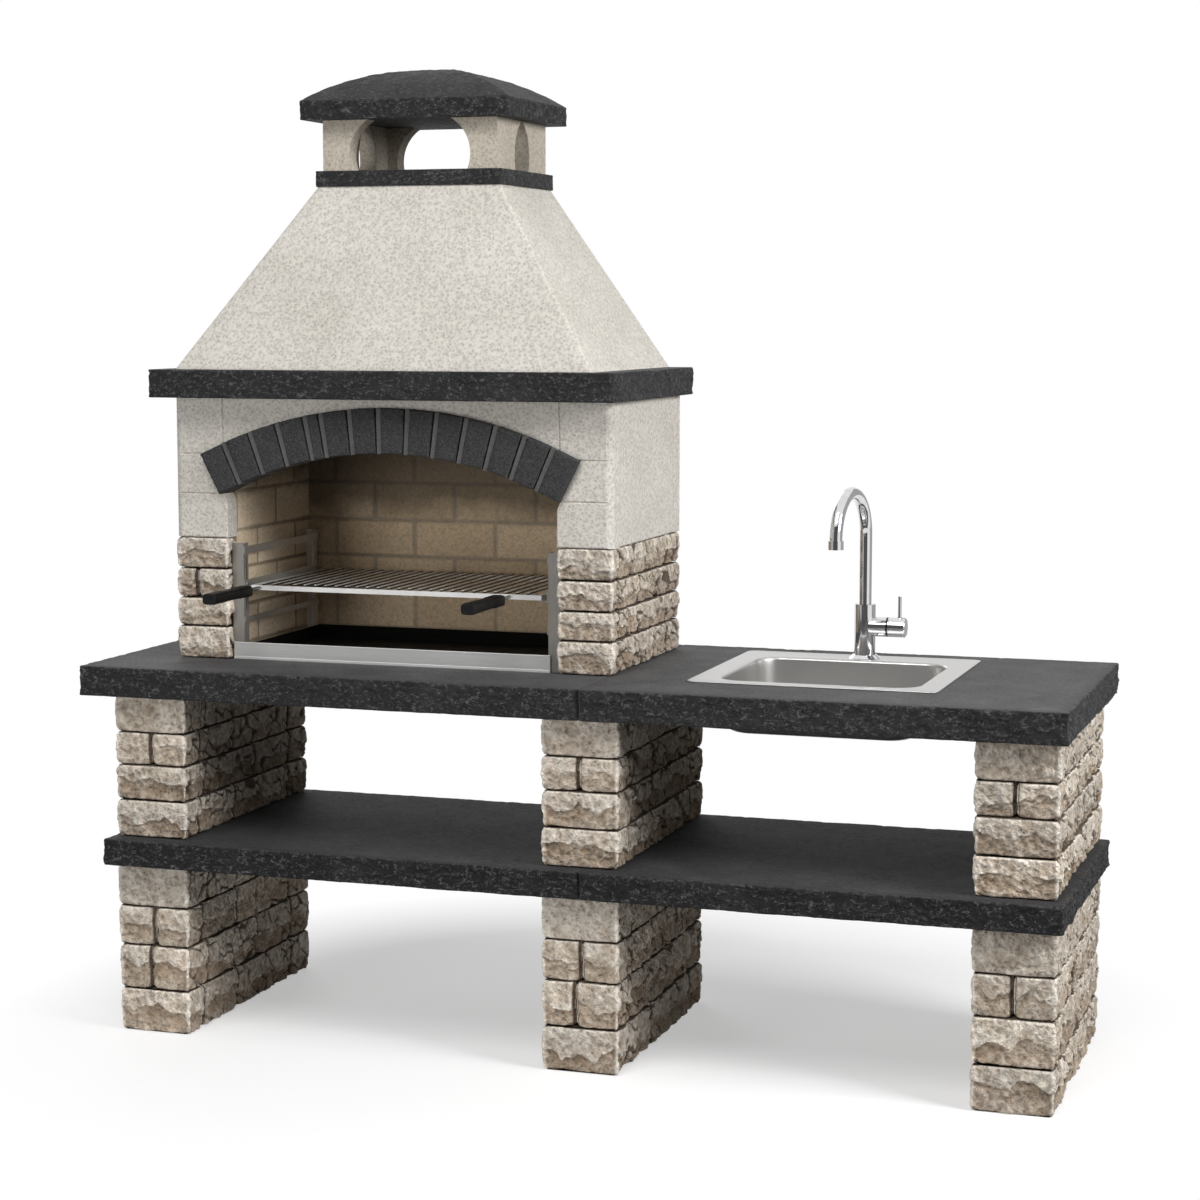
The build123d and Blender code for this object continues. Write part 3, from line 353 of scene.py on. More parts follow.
def add(tree, kind, inputs=None, **properties):
    """Shader node of a kind, with properties set and inputs given as constants or linked sockets."""
    made = tree.nodes.new("ShaderNode" + kind)
    for key, value in properties.items():
        setattr(made, key, value)
    for key, value in (inputs or {}).items():
        socket = made.inputs[key]
        if isinstance(value, bpy.types.NodeSocket):
            tree.links.new(value, socket)
        else:
            socket.default_value = (*value, 1) if socket.type == "RGBA" and len(value) == 3 else value
    return made


def seen_rays(tree):
    """1 for rays that show a surface to the camera, directly, in metal or through glass, and 0 for others."""
    rays = add(tree, "LightPath").outputs
    plain = add(tree, "Math", {0: rays["Is Camera Ray"], 1: rays["Is Glossy Ray"]}, operation="MAXIMUM")
    inputs = {0: plain.outputs[0], 1: rays["Is Transmission Ray"]}
    return add(tree, "Math", inputs, operation="MAXIMUM").outputs[0]


class Finish:
    """Material whose surface shader takes constants, with patterns on the object's own coordinates."""

    def __init__(self, name, **constants):
        self.material = bpy.data.materials.new(name)
        self.material.use_nodes = True
        self.tree = self.material.node_tree
        self.surface = self.tree.nodes["Principled BSDF"]
        for key, value in constants.items():
            self.surface.inputs[key.replace("_", " ")].default_value = value
        self.place = add(self.tree, "TexCoord").outputs["Object"]

    def stretched(self, scale):
        """Coordinates stretched along the axes, for brushed or drawn patterns."""
        return add(self.tree, "Mapping", {"Vector": self.place, "Scale": scale}).outputs[0]

    def noise(self, scale, detail=4, rough=0.55, place=None):
        """Cloudy pattern around 0.5."""
        inputs = {"Vector": place or self.place, "Scale": scale, "Detail": detail, "Roughness": rough}
        return add(self.tree, "TexNoise", inputs).outputs["Fac"]

    def warped(self, scale, reach):
        """Coordinates pushed about by a cloudy pattern."""
        push = add(self.tree, "TexNoise", {"Vector": self.place, "Scale": scale, "Detail": 3}).outputs["Color"]
        inputs = {0: push, 1: (reach, reach, reach), 2: self.place}
        return add(self.tree, "VectorMath", inputs, operation="MULTIPLY_ADD").outputs[0]

    def cells(self, scale, place):
        """Cell pattern: distance to the nearest of many scattered centres, highest between them."""
        return add(self.tree, "TexVoronoi", {"Vector": place, "Scale": scale}).outputs["Distance"]

    def value(self, name):
        """Number kept on the mesh."""
        return add(self.tree, "Attribute", attribute_name=name).outputs["Fac"]

    def axis(self, name):
        """One coordinate: X, Y or Z."""
        return add(self.tree, "SeparateXYZ", {0: self.place}).outputs[name]

    def ramp(self, factor, *stops):
        """Colours or greys at places along a factor: a socket, or the settings of a cloudy pattern."""
        if isinstance(factor, tuple):
            factor = self.noise(*factor)
        made = add(self.tree, "ValToRGB", {"Fac": factor})
        elements = made.color_ramp.elements
        while len(elements) < len(stops):
            elements.new(0.5)
        for element, (place, colour) in zip(elements, stops):
            element.position = place
            element.color = (*colour, 1) if isinstance(colour, tuple) else (colour, colour, colour, 1)
        return made.outputs["Color"]

    def mix(self, factor, first, second, blend="MIX"):
        """Blend of two colours by a factor."""
        inputs = {0: factor, 6: first, 7: second}
        return add(self.tree, "Mix", inputs, data_type="RGBA", blend_type=blend).outputs[2]

    def times(self, colour, factor, *stops):
        """Colour multiplied by a ramp."""
        return self.mix(1.0, colour, self.ramp(factor, *stops), "MULTIPLY")

    def math(self, operation, *terms):
        """Sum, product or other arithmetic of sockets and numbers."""
        return add(self.tree, "Math", dict(enumerate(terms)), operation=operation).outputs[0]

    def bump(self, height, strength, distance, under=None):
        """Small relief from a height pattern, over another relief if given."""
        inputs = {"Height": height, "Strength": strength, "Distance": distance}
        if under:
            inputs["Normal"] = under
        return add(self.tree, "Bump", inputs).outputs[0]

    def drive(self, **sockets):
        """Link sockets to the surface shader's inputs, and give the material."""
        for key, socket in sockets.items():
            self.tree.links.new(socket, self.surface.inputs[key.replace("_", " ")])
        return self.material


def scaled(colour, by):
    """Colour multiplied by a number or by another colour."""
    return tuple(np.multiply(colour, by))


def split_stone_finish(name):
    """Beige split stone: tone by stone, crumbs at two sizes, brown cracks; painted shade in chip hollows and below
    the ridge; painted highlights on edges and crests.
    """
    finish = Finish(name, Specular_IOR_Level=0.15)
    cloud = finish.noise(26, 6, 0.66)
    base = finish.ramp(
        cloud,
        (0.30, (0.420, 0.346, 0.268)),
        (0.45, (0.560, 0.490, 0.406)),
        (0.58, (0.640, 0.578, 0.500)),
        (0.72, (0.690, 0.644, 0.577)),
    )
    greyness = finish.ramp(finish.value("warmth"), (0.3, 0.0), (0.95, 0.6))
    grey = finish.mix(greyness, base, (0.53, 0.490, 0.435))
    # Painted shade: chip hollows darker, from the relief kept on the mesh
    hollow = finish.ramp(finish.value("relief"), (0.0, 0.55), (0.42, 0.10), (0.60, 0.0))
    shaded = finish.mix(hollow, grey, (0.290, 0.217, 0.152))
    # Painted shade: brown below each ridge and set-back, in uneven patches
    patches = finish.ramp((55, 5, 0.75), (0.34, 0.45), (0.60, 1.0))
    under = finish.math("MULTIPLY", finish.value("under"), patches)
    under_ridge_shaded = finish.mix(under, shaded, (0.285, 0.210, 0.146))
    # Painted highlight: pale top edges, outer corners and ridge tops, in uneven patches
    highlight_patches = finish.ramp((70, 4, 0.7), (0.36, 0.05), (0.60, 0.7))
    worn = finish.math("MULTIPLY", finish.value("arris"), highlight_patches)
    edge_highlighted = finish.mix(worn, under_ridge_shaded, (0.80, 0.745, 0.665))
    crumb = finish.cells(72, finish.warped(55, 0.030))
    grit = finish.cells(165, finish.warped(120, 0.012))
    crumbled = finish.times(edge_highlighted, crumb, (0.05, 0.64), (0.30, 0.93), (0.55, 1.12), (0.80, 1.30))
    gritty = finish.times(crumbled, grit, (0.05, 0.78), (0.35, 1.0), (0.70, 1.16))
    toned = finish.times(gritty, finish.value("tone"), (0.0, 0.86), (1.0, 1.06))
    split = finish.ramp(finish.value("crack"), (0.25, 0.0), (0.85, 0.92))
    return finish.drive(
        Base_Color=finish.mix(split, toned, (0.095, 0.069, 0.048)),
        Roughness=finish.ramp(cloud, (0.3, 0.95), (0.7, 0.86)),
        Normal=finish.bump(grit, 0.9, 0.0016, finish.bump(crumb, 1.0, 0.0055)),
    )


def dark_slab_finish(name, light, shine):
    """Charcoal slab stone: paler flat faces, partly a painted sheen, with streaky flecks; thin pale lines on broken
    sides; painted highlights on crests and top edges.
    """
    finish = Finish(name, Specular_IOR_Level=shine)
    cloud = finish.noise(9, 6, 0.65)
    dark = ((0.32, 0.0115, 0.0125), (0.55, 0.0185, 0.0195), (0.75, 0.029, 0.0305))
    side = finish.ramp(cloud, *((place, (grey, grey, blue)) for place, grey, blue in dark))
    # Flat faces: paler than the broken sides, partly the honed face's own tone and partly a painted sheen, scaled by
    # light
    pale = ((0.32, 0.056), (0.55, 0.080), (0.75, 0.110))
    flat = finish.ramp(cloud, *((place, scaled((grey, grey, 1.02 * grey), light)) for place, grey in pale))
    streaky = finish.noise(1.0, 5, 0.72, finish.stretched((110, 380, 380)))
    streaks = finish.ramp(streaky, (0.50, 0.0), (0.66, 0.45), (0.80, 0.9))
    streaked = finish.mix(streaks, flat, scaled((0.20, 0.20, 0.203), light))
    grain = finish.ramp((300, 4, 0.75), (0.48, 0.0), (0.66, 0.35), (0.82, 0.9))
    grained = finish.mix(grain, side, (0.062, 0.062, 0.064))
    body = finish.mix(finish.value("broken"), streaked, grained)
    lines = []
    for scale, stretch, half, height, where in (
        (40, (0.55, 0.55, 1.25), 0.030, 0.85, 75),
        (85, (0.6, 0.6, 1.3), 0.045, 0.75, 105),
    ):
        layers = finish.noise(scale, 3, 0.6, finish.stretched(stretch))
        line = finish.ramp(layers, (0.5 - half, 0.0), (0.5, height), (0.5 + half, 0.0))
        here = finish.ramp((where, 3, 0.6), (0.52, 0.0), (0.60, 1.0))
        lines.append(finish.math("MULTIPLY", line, here))
    # Painted highlight: pale along set-back crests and top edges, broken up by a cloudy pattern
    crumbs = finish.ramp((90, 5, 0.78), (0.46, 0.0), (0.62, 0.6))
    flakes = finish.math("MULTIPLY", finish.value("flake"), crumbs)
    marks = finish.math("MAXIMUM", finish.math("MAXIMUM", *lines), flakes)
    shown = finish.math("MULTIPLY", marks, finish.value("broken"))
    rough = finish.bump(finish.noise(70, 6, 0.70), 1.0, 0.0060)
    return finish.drive(
        Base_Color=finish.mix(shown, body, (0.150, 0.149, 0.146)),
        Roughness=finish.ramp((120, 4, 0.65), (0.3, 0.58), (0.7, 0.80)),
        Normal=finish.bump(finish.noise(330, 4, 0.65), 0.7, 0.0015, rough),
    )


def cast_stone_finish(name, tint=(1.0, 1.0, 1.0)):
    """Cream cast stone: crumbly light and dark sand grains in a pale binder, with a gritty relief."""
    finish = Finish(name, Specular_IOR_Level=0.15, Roughness=0.92)
    low, high = (0.560, 0.532, 0.490), (0.640, 0.614, 0.574)
    cloud = finish.ramp((4.5, 4, 0.6), (0.3, scaled(low, tint)), (0.7, scaled(high, tint)))
    crumbs = finish.cells(135, finish.warped(90, 0.016))
    tints = ((0.04, (0.66, 0.63, 0.58)), (0.32, (0.98, 0.97, 0.95)), (0.72, (1.22, 1.21, 1.19)))
    sandy = finish.times(cloud, crumbs, *tints)
    dark = finish.ramp((300, 2, 0.6), (0.28, 0.60), (0.38, 0.0))
    grit = finish.bump(finish.noise(280, 4, 0.65), 0.7, 0.0018)
    return finish.drive(
        Base_Color=finish.mix(dark, sandy, (0.33, 0.285, 0.235)),
        Normal=finish.bump(finish.noise(60, 4, 0.55), 0.3, 0.003, grit),
    )


def arch_finish(name, colour, pale):
    """Fine-grained arch stone or joint: even dark body with lighter grains."""
    finish = Finish(name, Specular_IOR_Level=0.3, Roughness=0.8)
    grain = finish.ramp((380, 3, 0.7), (0.42, 0.0), (0.62, 0.45), (0.78, 1.0))
    cloud = finish.ramp((16, 4), (0.3, scaled(colour, 0.72)), (0.7, colour))
    return finish.drive(
        Base_Color=finish.mix(grain, cloud, pale),
        Normal=finish.bump(finish.noise(260, 4, 0.6), 0.6, 0.0012),
    )


def firebrick_finish(name, light, soot_and_shade_from):
    """Tan firebrick in greyer mortar, each brick its own tone, with short scratches, and sooty darkening with painted
    shade under the hood above a height.
    """
    finish = Finish(name, Specular_IOR_Level=0.15, Roughness=0.9)
    # light scales the brick tones; above 1 it is painted light
    tones = ((0.0, (0.600, 0.455, 0.300)), (0.5, (0.660, 0.510, 0.340)), (1.0, (0.720, 0.565, 0.390)))
    tone = finish.ramp(finish.value("tone"), *((place, scaled(colour, light)) for place, colour in tones))
    brick = finish.times(tone, (150, 5, 0.72), (0.34, 0.74), (0.50, 1.0), (0.70, 1.16))
    fine = finish.noise(17, 6, 0.7, finish.stretched((1, 1, 1.5)))
    scratches = finish.ramp(fine, (0.489, 0.0), (0.500, 0.4), (0.511, 0.0))
    scratched = finish.mix(scratches, brick, (0.22, 0.165, 0.11))
    mortar = finish.ramp((140, 4), (0.3, (0.355, 0.285, 0.210)), (0.7, (0.455, 0.375, 0.285)))
    laid = finish.mix(finish.value("mortar"), scratched, mortar)
    # Darker above a height: sooty, and painted shade under the hood
    wisps = finish.math("MULTIPLY_ADD", finish.noise(7, 4, 0.6), 0.10, finish.axis("Z"))
    above = finish.math("MULTIPLY_ADD", wisps, 2.0, -2 * soot_and_shade_from)
    soot_and_hood_shade = finish.ramp(above, (0.02, 0.0), (0.16, 0.74), (0.55, 0.88))
    pits = finish.bump(finish.noise(230, 4, 0.65), 0.6, 0.0014)
    return finish.drive(
        Base_Color=finish.mix(soot_and_hood_shade, laid, (0.075, 0.060, 0.045)),
        Normal=finish.bump(finish.noise(60, 3), 0.4, 0.002, pits),
    )


def brushed_steel_finish(name, colour, stretch, rough=(0.24, 0.42), stain=0.0, contrast=0.2, metallic=1.0,
                         bright=None, rear=None):
    """Brushed steel: fine streaks along one axis in tone, gloss and relief, with faint stains and painted highlights
    on hems.

    Where a rear colour is given, the steel is painted lighter towards the back wall, standing in for light on the
    rear parts of the rack.
    """
    finish = Finish(name, Metallic=metallic)
    streaks = finish.noise(1.0, 5, 0.7, finish.stretched(stretch))
    base = finish.ramp(streaks, (0.32, scaled(colour, 1 - contrast)), (0.68, colour))
    if rear:
        # Painted light: lighter towards the back wall
        back = finish.math("MULTIPLY_ADD", finish.axis("Y"), 2.0, 0.3)
        base = finish.mix(finish.ramp(back, (0.05, 0.0), (0.65, 1.0)), base, rear)
    if stain:
        base = finish.mix(finish.ramp((11, 5, 0.65), (0.42, stain), (0.66, 0.0)), base, (0.16, 0.125, 0.09))
    if bright:
        # Painted highlight on the hems
        base = finish.mix(finish.value(bright), base, (0.92, 0.91, 0.89))
    return finish.drive(
        Base_Color=base,
        Roughness=finish.ramp(streaks, (0.3, rough[0]), (0.7, rough[1])),
        Normal=finish.bump(streaks, 0.5 * contrast, 0.0004),
    )


def top_lit_rod_finish(name, low, high):
    """Grate rod between two heights: painted highlight along the top and painted shade below, with a ragged border.
    """
    finish = Finish(name, Metallic=0.7)
    streaks = finish.noise(1.0, 5, 0.7, finish.stretched((400, 20, 400)))
    inputs = {"Value": finish.axis("Z"), "From Min": low, "From Max": high}
    part = add(finish.tree, "MapRange", inputs).outputs[0]
    # Painted highlight on the top of the rods and painted shade below, by height with a ragged border
    lit_height = finish.math("MULTIPLY_ADD", finish.noise(45, 4, 0.6), 0.4, part)
    return finish.drive(
        Base_Color=finish.ramp(lit_height, (0.80, (0.040, 0.036, 0.030)), (1.00, (0.78, 0.76, 0.73))),
        Roughness=finish.ramp(streaks, (0.3, 0.24), (0.7, 0.36)),
        Normal=finish.bump(streaks, 0.1, 0.0004),
    )


def chrome_finish(name, seam=None):
    """Polished chrome with faint wiping marks in its gloss, and painted shade at a seam, up to a place along X if
    given.
    """
    finish = Finish(name, Metallic=1.0)
    wipes = finish.noise(60, 4, 0.6, finish.stretched((1, 1, 0.25)))
    plated = finish.ramp(wipes, (0.35, (0.67, 0.67, 0.68)), (0.65, (0.75, 0.75, 0.76)))
    if seam is not None:
        # Painted shade: near black up to the seam
        plated = finish.mix(finish.math("LESS_THAN", finish.axis("X"), seam), plated, (0.012, 0.012, 0.012))
    return finish.drive(Base_Color=plated, Roughness=finish.ramp(wipes, (0.35, 0.035), (0.70, 0.085)))


def moulded_finish(name, colour, rough, grain, depth, metallic=0.0, shine=0.4):
    """Moulded, painted or turned surface: slightly uneven tone, fine grain and uneven gloss."""
    finish = Finish(name, Metallic=metallic, Specular_IOR_Level=shine)
    cloud = finish.noise(24, 5, 0.6)
    return finish.drive(
        Base_Color=finish.ramp(cloud, (0.3, scaled(colour, 0.75)), (0.7, colour)),
        Roughness=finish.ramp(cloud, (0.3, rough - 0.08), (0.7, rough + 0.08)),
        Normal=finish.bump(finish.noise(grain, 3, 0.6), 0.4, depth),
    )


STEEL = (0.46, 0.455, 0.445)
FINISHES = {
    "split_stone": split_stone_finish("split_stone"),
    "dark_slab": dark_slab_finish("dark_slab", 1.1, 0.22),
    "light_cast": cast_stone_finish("light_cast"),
    "dark_arch": arch_finish("dark_arch", (0.028, 0.028, 0.029), (0.115, 0.115, 0.117)),
    "arch_joint": arch_finish("arch_joint", (0.110, 0.109, 0.106), (0.165, 0.163, 0.158)),
    "firebrick": firebrick_finish("firebrick", (1.0, 1.0, 1.0), 1.17),
    "stainless": brushed_steel_finish("stainless", STEEL, (30, 30, 700)),
    "black_steel": moulded_finish("black_steel", (0.0045, 0.004, 0.0036), 0.62, 150, 0.0008, shine=0.16),
    "black_grip": moulded_finish("black_grip", (0.006, 0.006, 0.0065), 0.46, 600, 0.0005, shine=0.2),
    "chrome": chrome_finish("chrome"),
    "brass": moulded_finish("brass", (0.62, 0.45, 0.19), 0.32, 300, 0.0003, 1.0),
    "white_plastic": moulded_finish("white_plastic", (0.72, 0.72, 0.70), 0.45, 400, 0.0003),
    "seal_rubber": moulded_finish("seal_rubber", (0.03, 0.03, 0.03), 0.7, 300, 0.0004),
}
# Darker copy for the shelves: painted shade under the counters
SHADED_SHELF_SLAB = dark_slab_finish("shaded_shelf_slab", 0.70, 0.11)
# Lighter, cooler copy for the side linings: painted light on walls that the lamps hardly reach
LIT_SIDE_FIREBRICK = firebrick_finish("lit_side_firebrick", (1.33, 1.42, 1.56), 1.25)
# Darker, browner copy for the chimney posts: painted shade under the cap
CAP_SHADED_CAST = cast_stone_finish("cap_shaded_cast", (0.80, 0.76, 0.70))
TOP_LIT_ROD_STEEL = top_lit_rod_finish("top_lit_rod_steel", *(corner[2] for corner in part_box("grate_rods")))
SEAM_SHADED_CHROME = chrome_finish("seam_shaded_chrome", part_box("tap_valve_cap")[0][0] + 0.003)
POST_STEEL = brushed_steel_finish("post_steel", (0.36, 0.345, 0.32), (500, 500, 25), (0.34, 0.50), 0.15, 0.25, 0.6,
                                  rear=(0.95, 0.93, 0.90))
RACK_STEEL = brushed_steel_finish("rack_steel", (0.93, 0.92, 0.90), (25, 500, 500), (0.32, 0.46), 0.1, 0.15, 0.4)
FENDER_STEEL = brushed_steel_finish("fender_steel", (0.80, 0.80, 0.79), (12, 600, 600), (0.36, 0.48), 0.0, 0.12, 0.65,
                                    "hem")
SINK_STEEL = brushed_steel_finish("sink_steel", (0.50, 0.493, 0.482), (20, 600, 600), (0.27, 0.32), 0.0, 0.03, 0.85)


def stone_heights(tall):
    """Heights of a stone's rings: close together at its top and bottom edges, even between."""
    edge = STONE_ARRIS * np.array([0.0, 0.08, 0.27, 0.58, 1.0])
    count = max(3, math.ceil((tall - 2 * STONE_ARRIS) / STONE_STEP))
    middle = np.linspace(STONE_ARRIS, tall - STONE_ARRIS, count)
    return np.concatenate([edge[:-1], middle, tall - edge[-2::-1]])


def edge_round(distance, radius):
    """How far a quarter-round edge draws in at a distance from the end."""
    inside = np.clip(radius - distance, 0, radius)
    return radius - np.sqrt(radius ** 2 - inside ** 2)


def split_stone(low, high, seed, shown, relief):
    """Rock-faced stone: each shown side is a broken plane with a ragged ridge, below which it is set back.

    Offset outward = pillow, less the set-backs below a main and two lesser ragged levels, plus chip hollows at two
    sizes and fine noise, straight only at upright corners between shown sides. All edges are quarter-rounds of
    uneven radius, wider near corners and at joints with the next stone. The long sides also have cracks.
    """
    luck = np.random.default_rng(seed)
    low = low + STONE_GAP
    high = high - STONE_GAP
    size = high - low
    tall = size[2]
    lengths = np.tile(size[:2], 2)
    is_shown = np.array(shown)
    columns = columns_round([math.ceil(length / STONE_STEP) if on else 2 for length, on in zip(lengths, shown)])
    side, _, out = columns
    plan = outline(columns, low, high, STONE_CORNER)
    along = way_round(plan)
    up = stone_heights(tall)[:, None]
    base = raised(plan, low[2] + up)
    corner = from_end(columns, lengths, is_shown)
    joint = from_end(columns, lengths, ~is_shown)

    ragged = 0.17 * broken_line(along, 0.040, seed) + 0.08 * broken_line(along, 0.013, seed + 1)
    ridge = tall * (luck.uniform(0.40, 0.60) + ragged) + 0.0025 * layered_noise(base, 0.010, seed + 2)
    strength = np.clip(0.80 + 0.60 * broken_line(along, 0.055, seed + 3), 0.2, 1.2)
    ridged = smooth_step(relief, 0.75, 1.0)
    main = ridged * set_back(ridge - up, 0.0100 * strength, 0.040)
    lower = ridge - tall * (0.17 + 0.11 * broken_line(along, 0.024, seed + 4))
    upper = ridge + tall * (0.25 + 0.15 * broken_line(along, 0.031, seed + 6))
    lesser = set_back(lower - up, 0.0040, 0.014)
    lesser = lesser + set_back(upper - up, 0.0036 * np.clip(broken_line(along, 0.045, seed + 8), 0, 1), 0.012)
    leaning = base @ np.array([[1.0, 0, 0.35], [0, 1.0, 0.35], [0, 0, 1.0]])
    large, next_large = chip_cells(leaning, 0.048, seed + 5)
    chips = 0.0070 * (large - 0.34) + 0.0052 * (scallops(leaning, 0.015, seed + 7) - 0.36)
    fine = 0.0014 * layered_noise(base, 0.009, seed + 11, 3)
    patchy = smooth_step(layered_noise(base, 0.060, seed + 13, 2), -0.35, 0.15)
    long_side = np.where(side % 2 == 1, 1.0, 0.15)
    crack = (1 - smooth_step(np.sqrt(next_large) - np.sqrt(large), 0.02, 0.15)) * long_side * patchy
    worn = relief * (chips - lesser) - main - 0.006 * crack
    pillow = 0.003 - 0.010 * (up / tall - 0.5) ** 2
    straight = 0.35 + 0.65 * smooth_step(corner, 0.0, 0.008)
    uneven = layered_noise(base, 0.030, seed + 15, 2)
    near_end = 1 - smooth_step(np.minimum(corner, joint), 0.0, 0.022)
    offset = np.clip(pillow + straight * worn + fine, -0.017, 0.0045) - edge_round(joint, 0.008)
    source, move = joint_columns(columns, shown)
    offset = np.where(is_shown[side[source]], offset[:, source], 0.0)
    end = np.minimum(up, tall - up)
    rounding = edge_round(end, np.clip(0.0050 + 0.0035 * uneven + 0.0065 * near_end, 0.0025, 0.012))
    rings = base.copy()
    rings[..., :2] += offset[..., None] * move - rounding[..., None] * out
    seam = 1 - smooth_step(np.minimum(joint, end), 0.0004, 0.0022)
    # Painted highlight just above the ridge
    ridge_highlight = ridged * strength * (1 - smooth_step(np.abs(up - ridge - 0.0025), 0.0, 0.0035))
    # Painted shade mask: below the ridge and the lesser set-backs, deeper where the face lies further back
    below = ridged * 0.42 * smooth_step(ridge - up, 0, 0.004) + main / 0.0135 + relief * lesser / 0.010
    values = {
        "tone": luck.uniform(),
        "warmth": luck.uniform(),
        # relief: 0 in chip hollows and 1 on their ridges, for painted shade in the hollows
        "relief": smooth_step(straight * chips, -0.0045, 0.0045),
        "under": straight * np.clip(below, 0, 1),
        "crack": np.maximum(crack * straight, seam),
        # arris: painted highlight mask on top edges, outer corners and just above the ridge
        "arris": np.maximum(1 - smooth_step(np.minimum(corner, tall - up - 0.002), 0.001, 0.004), ridge_highlight),
    }
    return skin(rings, **values)


def stone_course(split, x, y, side_x, rows, sides, z, seed, relief):
    """One course of a wall: a front stone or pair, and a row behind it that shows on the given sides."""
    fronts = spans((0.0, 1.0) if split is None else (0.0, split, 1.0), *x)
    stones = []
    for count, front in enumerate(fronts):
        shown = (True, count == len(fronts) - 1, False, count == 0)
        stones.append(split_stone(*np.array([front, y, z]).T, seed + count, shown, relief))
    for count, row in enumerate(rows):
        shown = (False, sides[0], count == len(rows) - 1, sides[1])
        stones.append(split_stone(*np.array([side_x, row, z]).T, seed + 10 + count, shown, relief))
    return stones


def pier_stones(name, courses, seed):
    """All stones of half a pier, the upper courses smoother than the lower."""
    low, high = node_box(name)
    x = (low[0], high[0])
    stones = []
    for level, z in enumerate(spans(courses, low[2], high[2])):
        front, *rows = spans((0.0, *PIER_SIDE_JOINTS[level % 2], 1.0), low[1], high[1])
        split = PIER_FRONT_SPLITS[name].get(level)
        stones += stone_course(split, x, front, x, rows, (True, True), z, seed + 40 * level, PIER_RELIEF[level])
    return stones


def fire_stones(hand, seed):
    """All rough stones of one firebox wall, which show at its front, its outer side and its rear."""
    name = f"{hand}_fire_stones"
    low, high = node_box(name)
    inner = node_box(f"{hand}_side_panel")[0][1]
    brick_low, brick_high = node_box(f"{hand}_firebrick")
    is_left = hand == "left"
    x, y = (low[0], high[0]), (low[1], inner)
    side_x = (low[0], brick_low[0]) if is_left else (brick_high[0], high[0])
    sides = (not is_left, is_left)
    stones = []
    for level, z in enumerate(spans(FIRE_COURSES, low[2], high[2])):
        rows = spans((0.0, *FIRE_SIDE_JOINTS[level], 1.0), inner, high[1])
        split = FIRE_FRONT_SPLITS[name].get(level)
        stones += stone_course(split, x, y, side_x, rows, sides, z, seed + 40 * level, FIRE_RELIEF)
    return stones


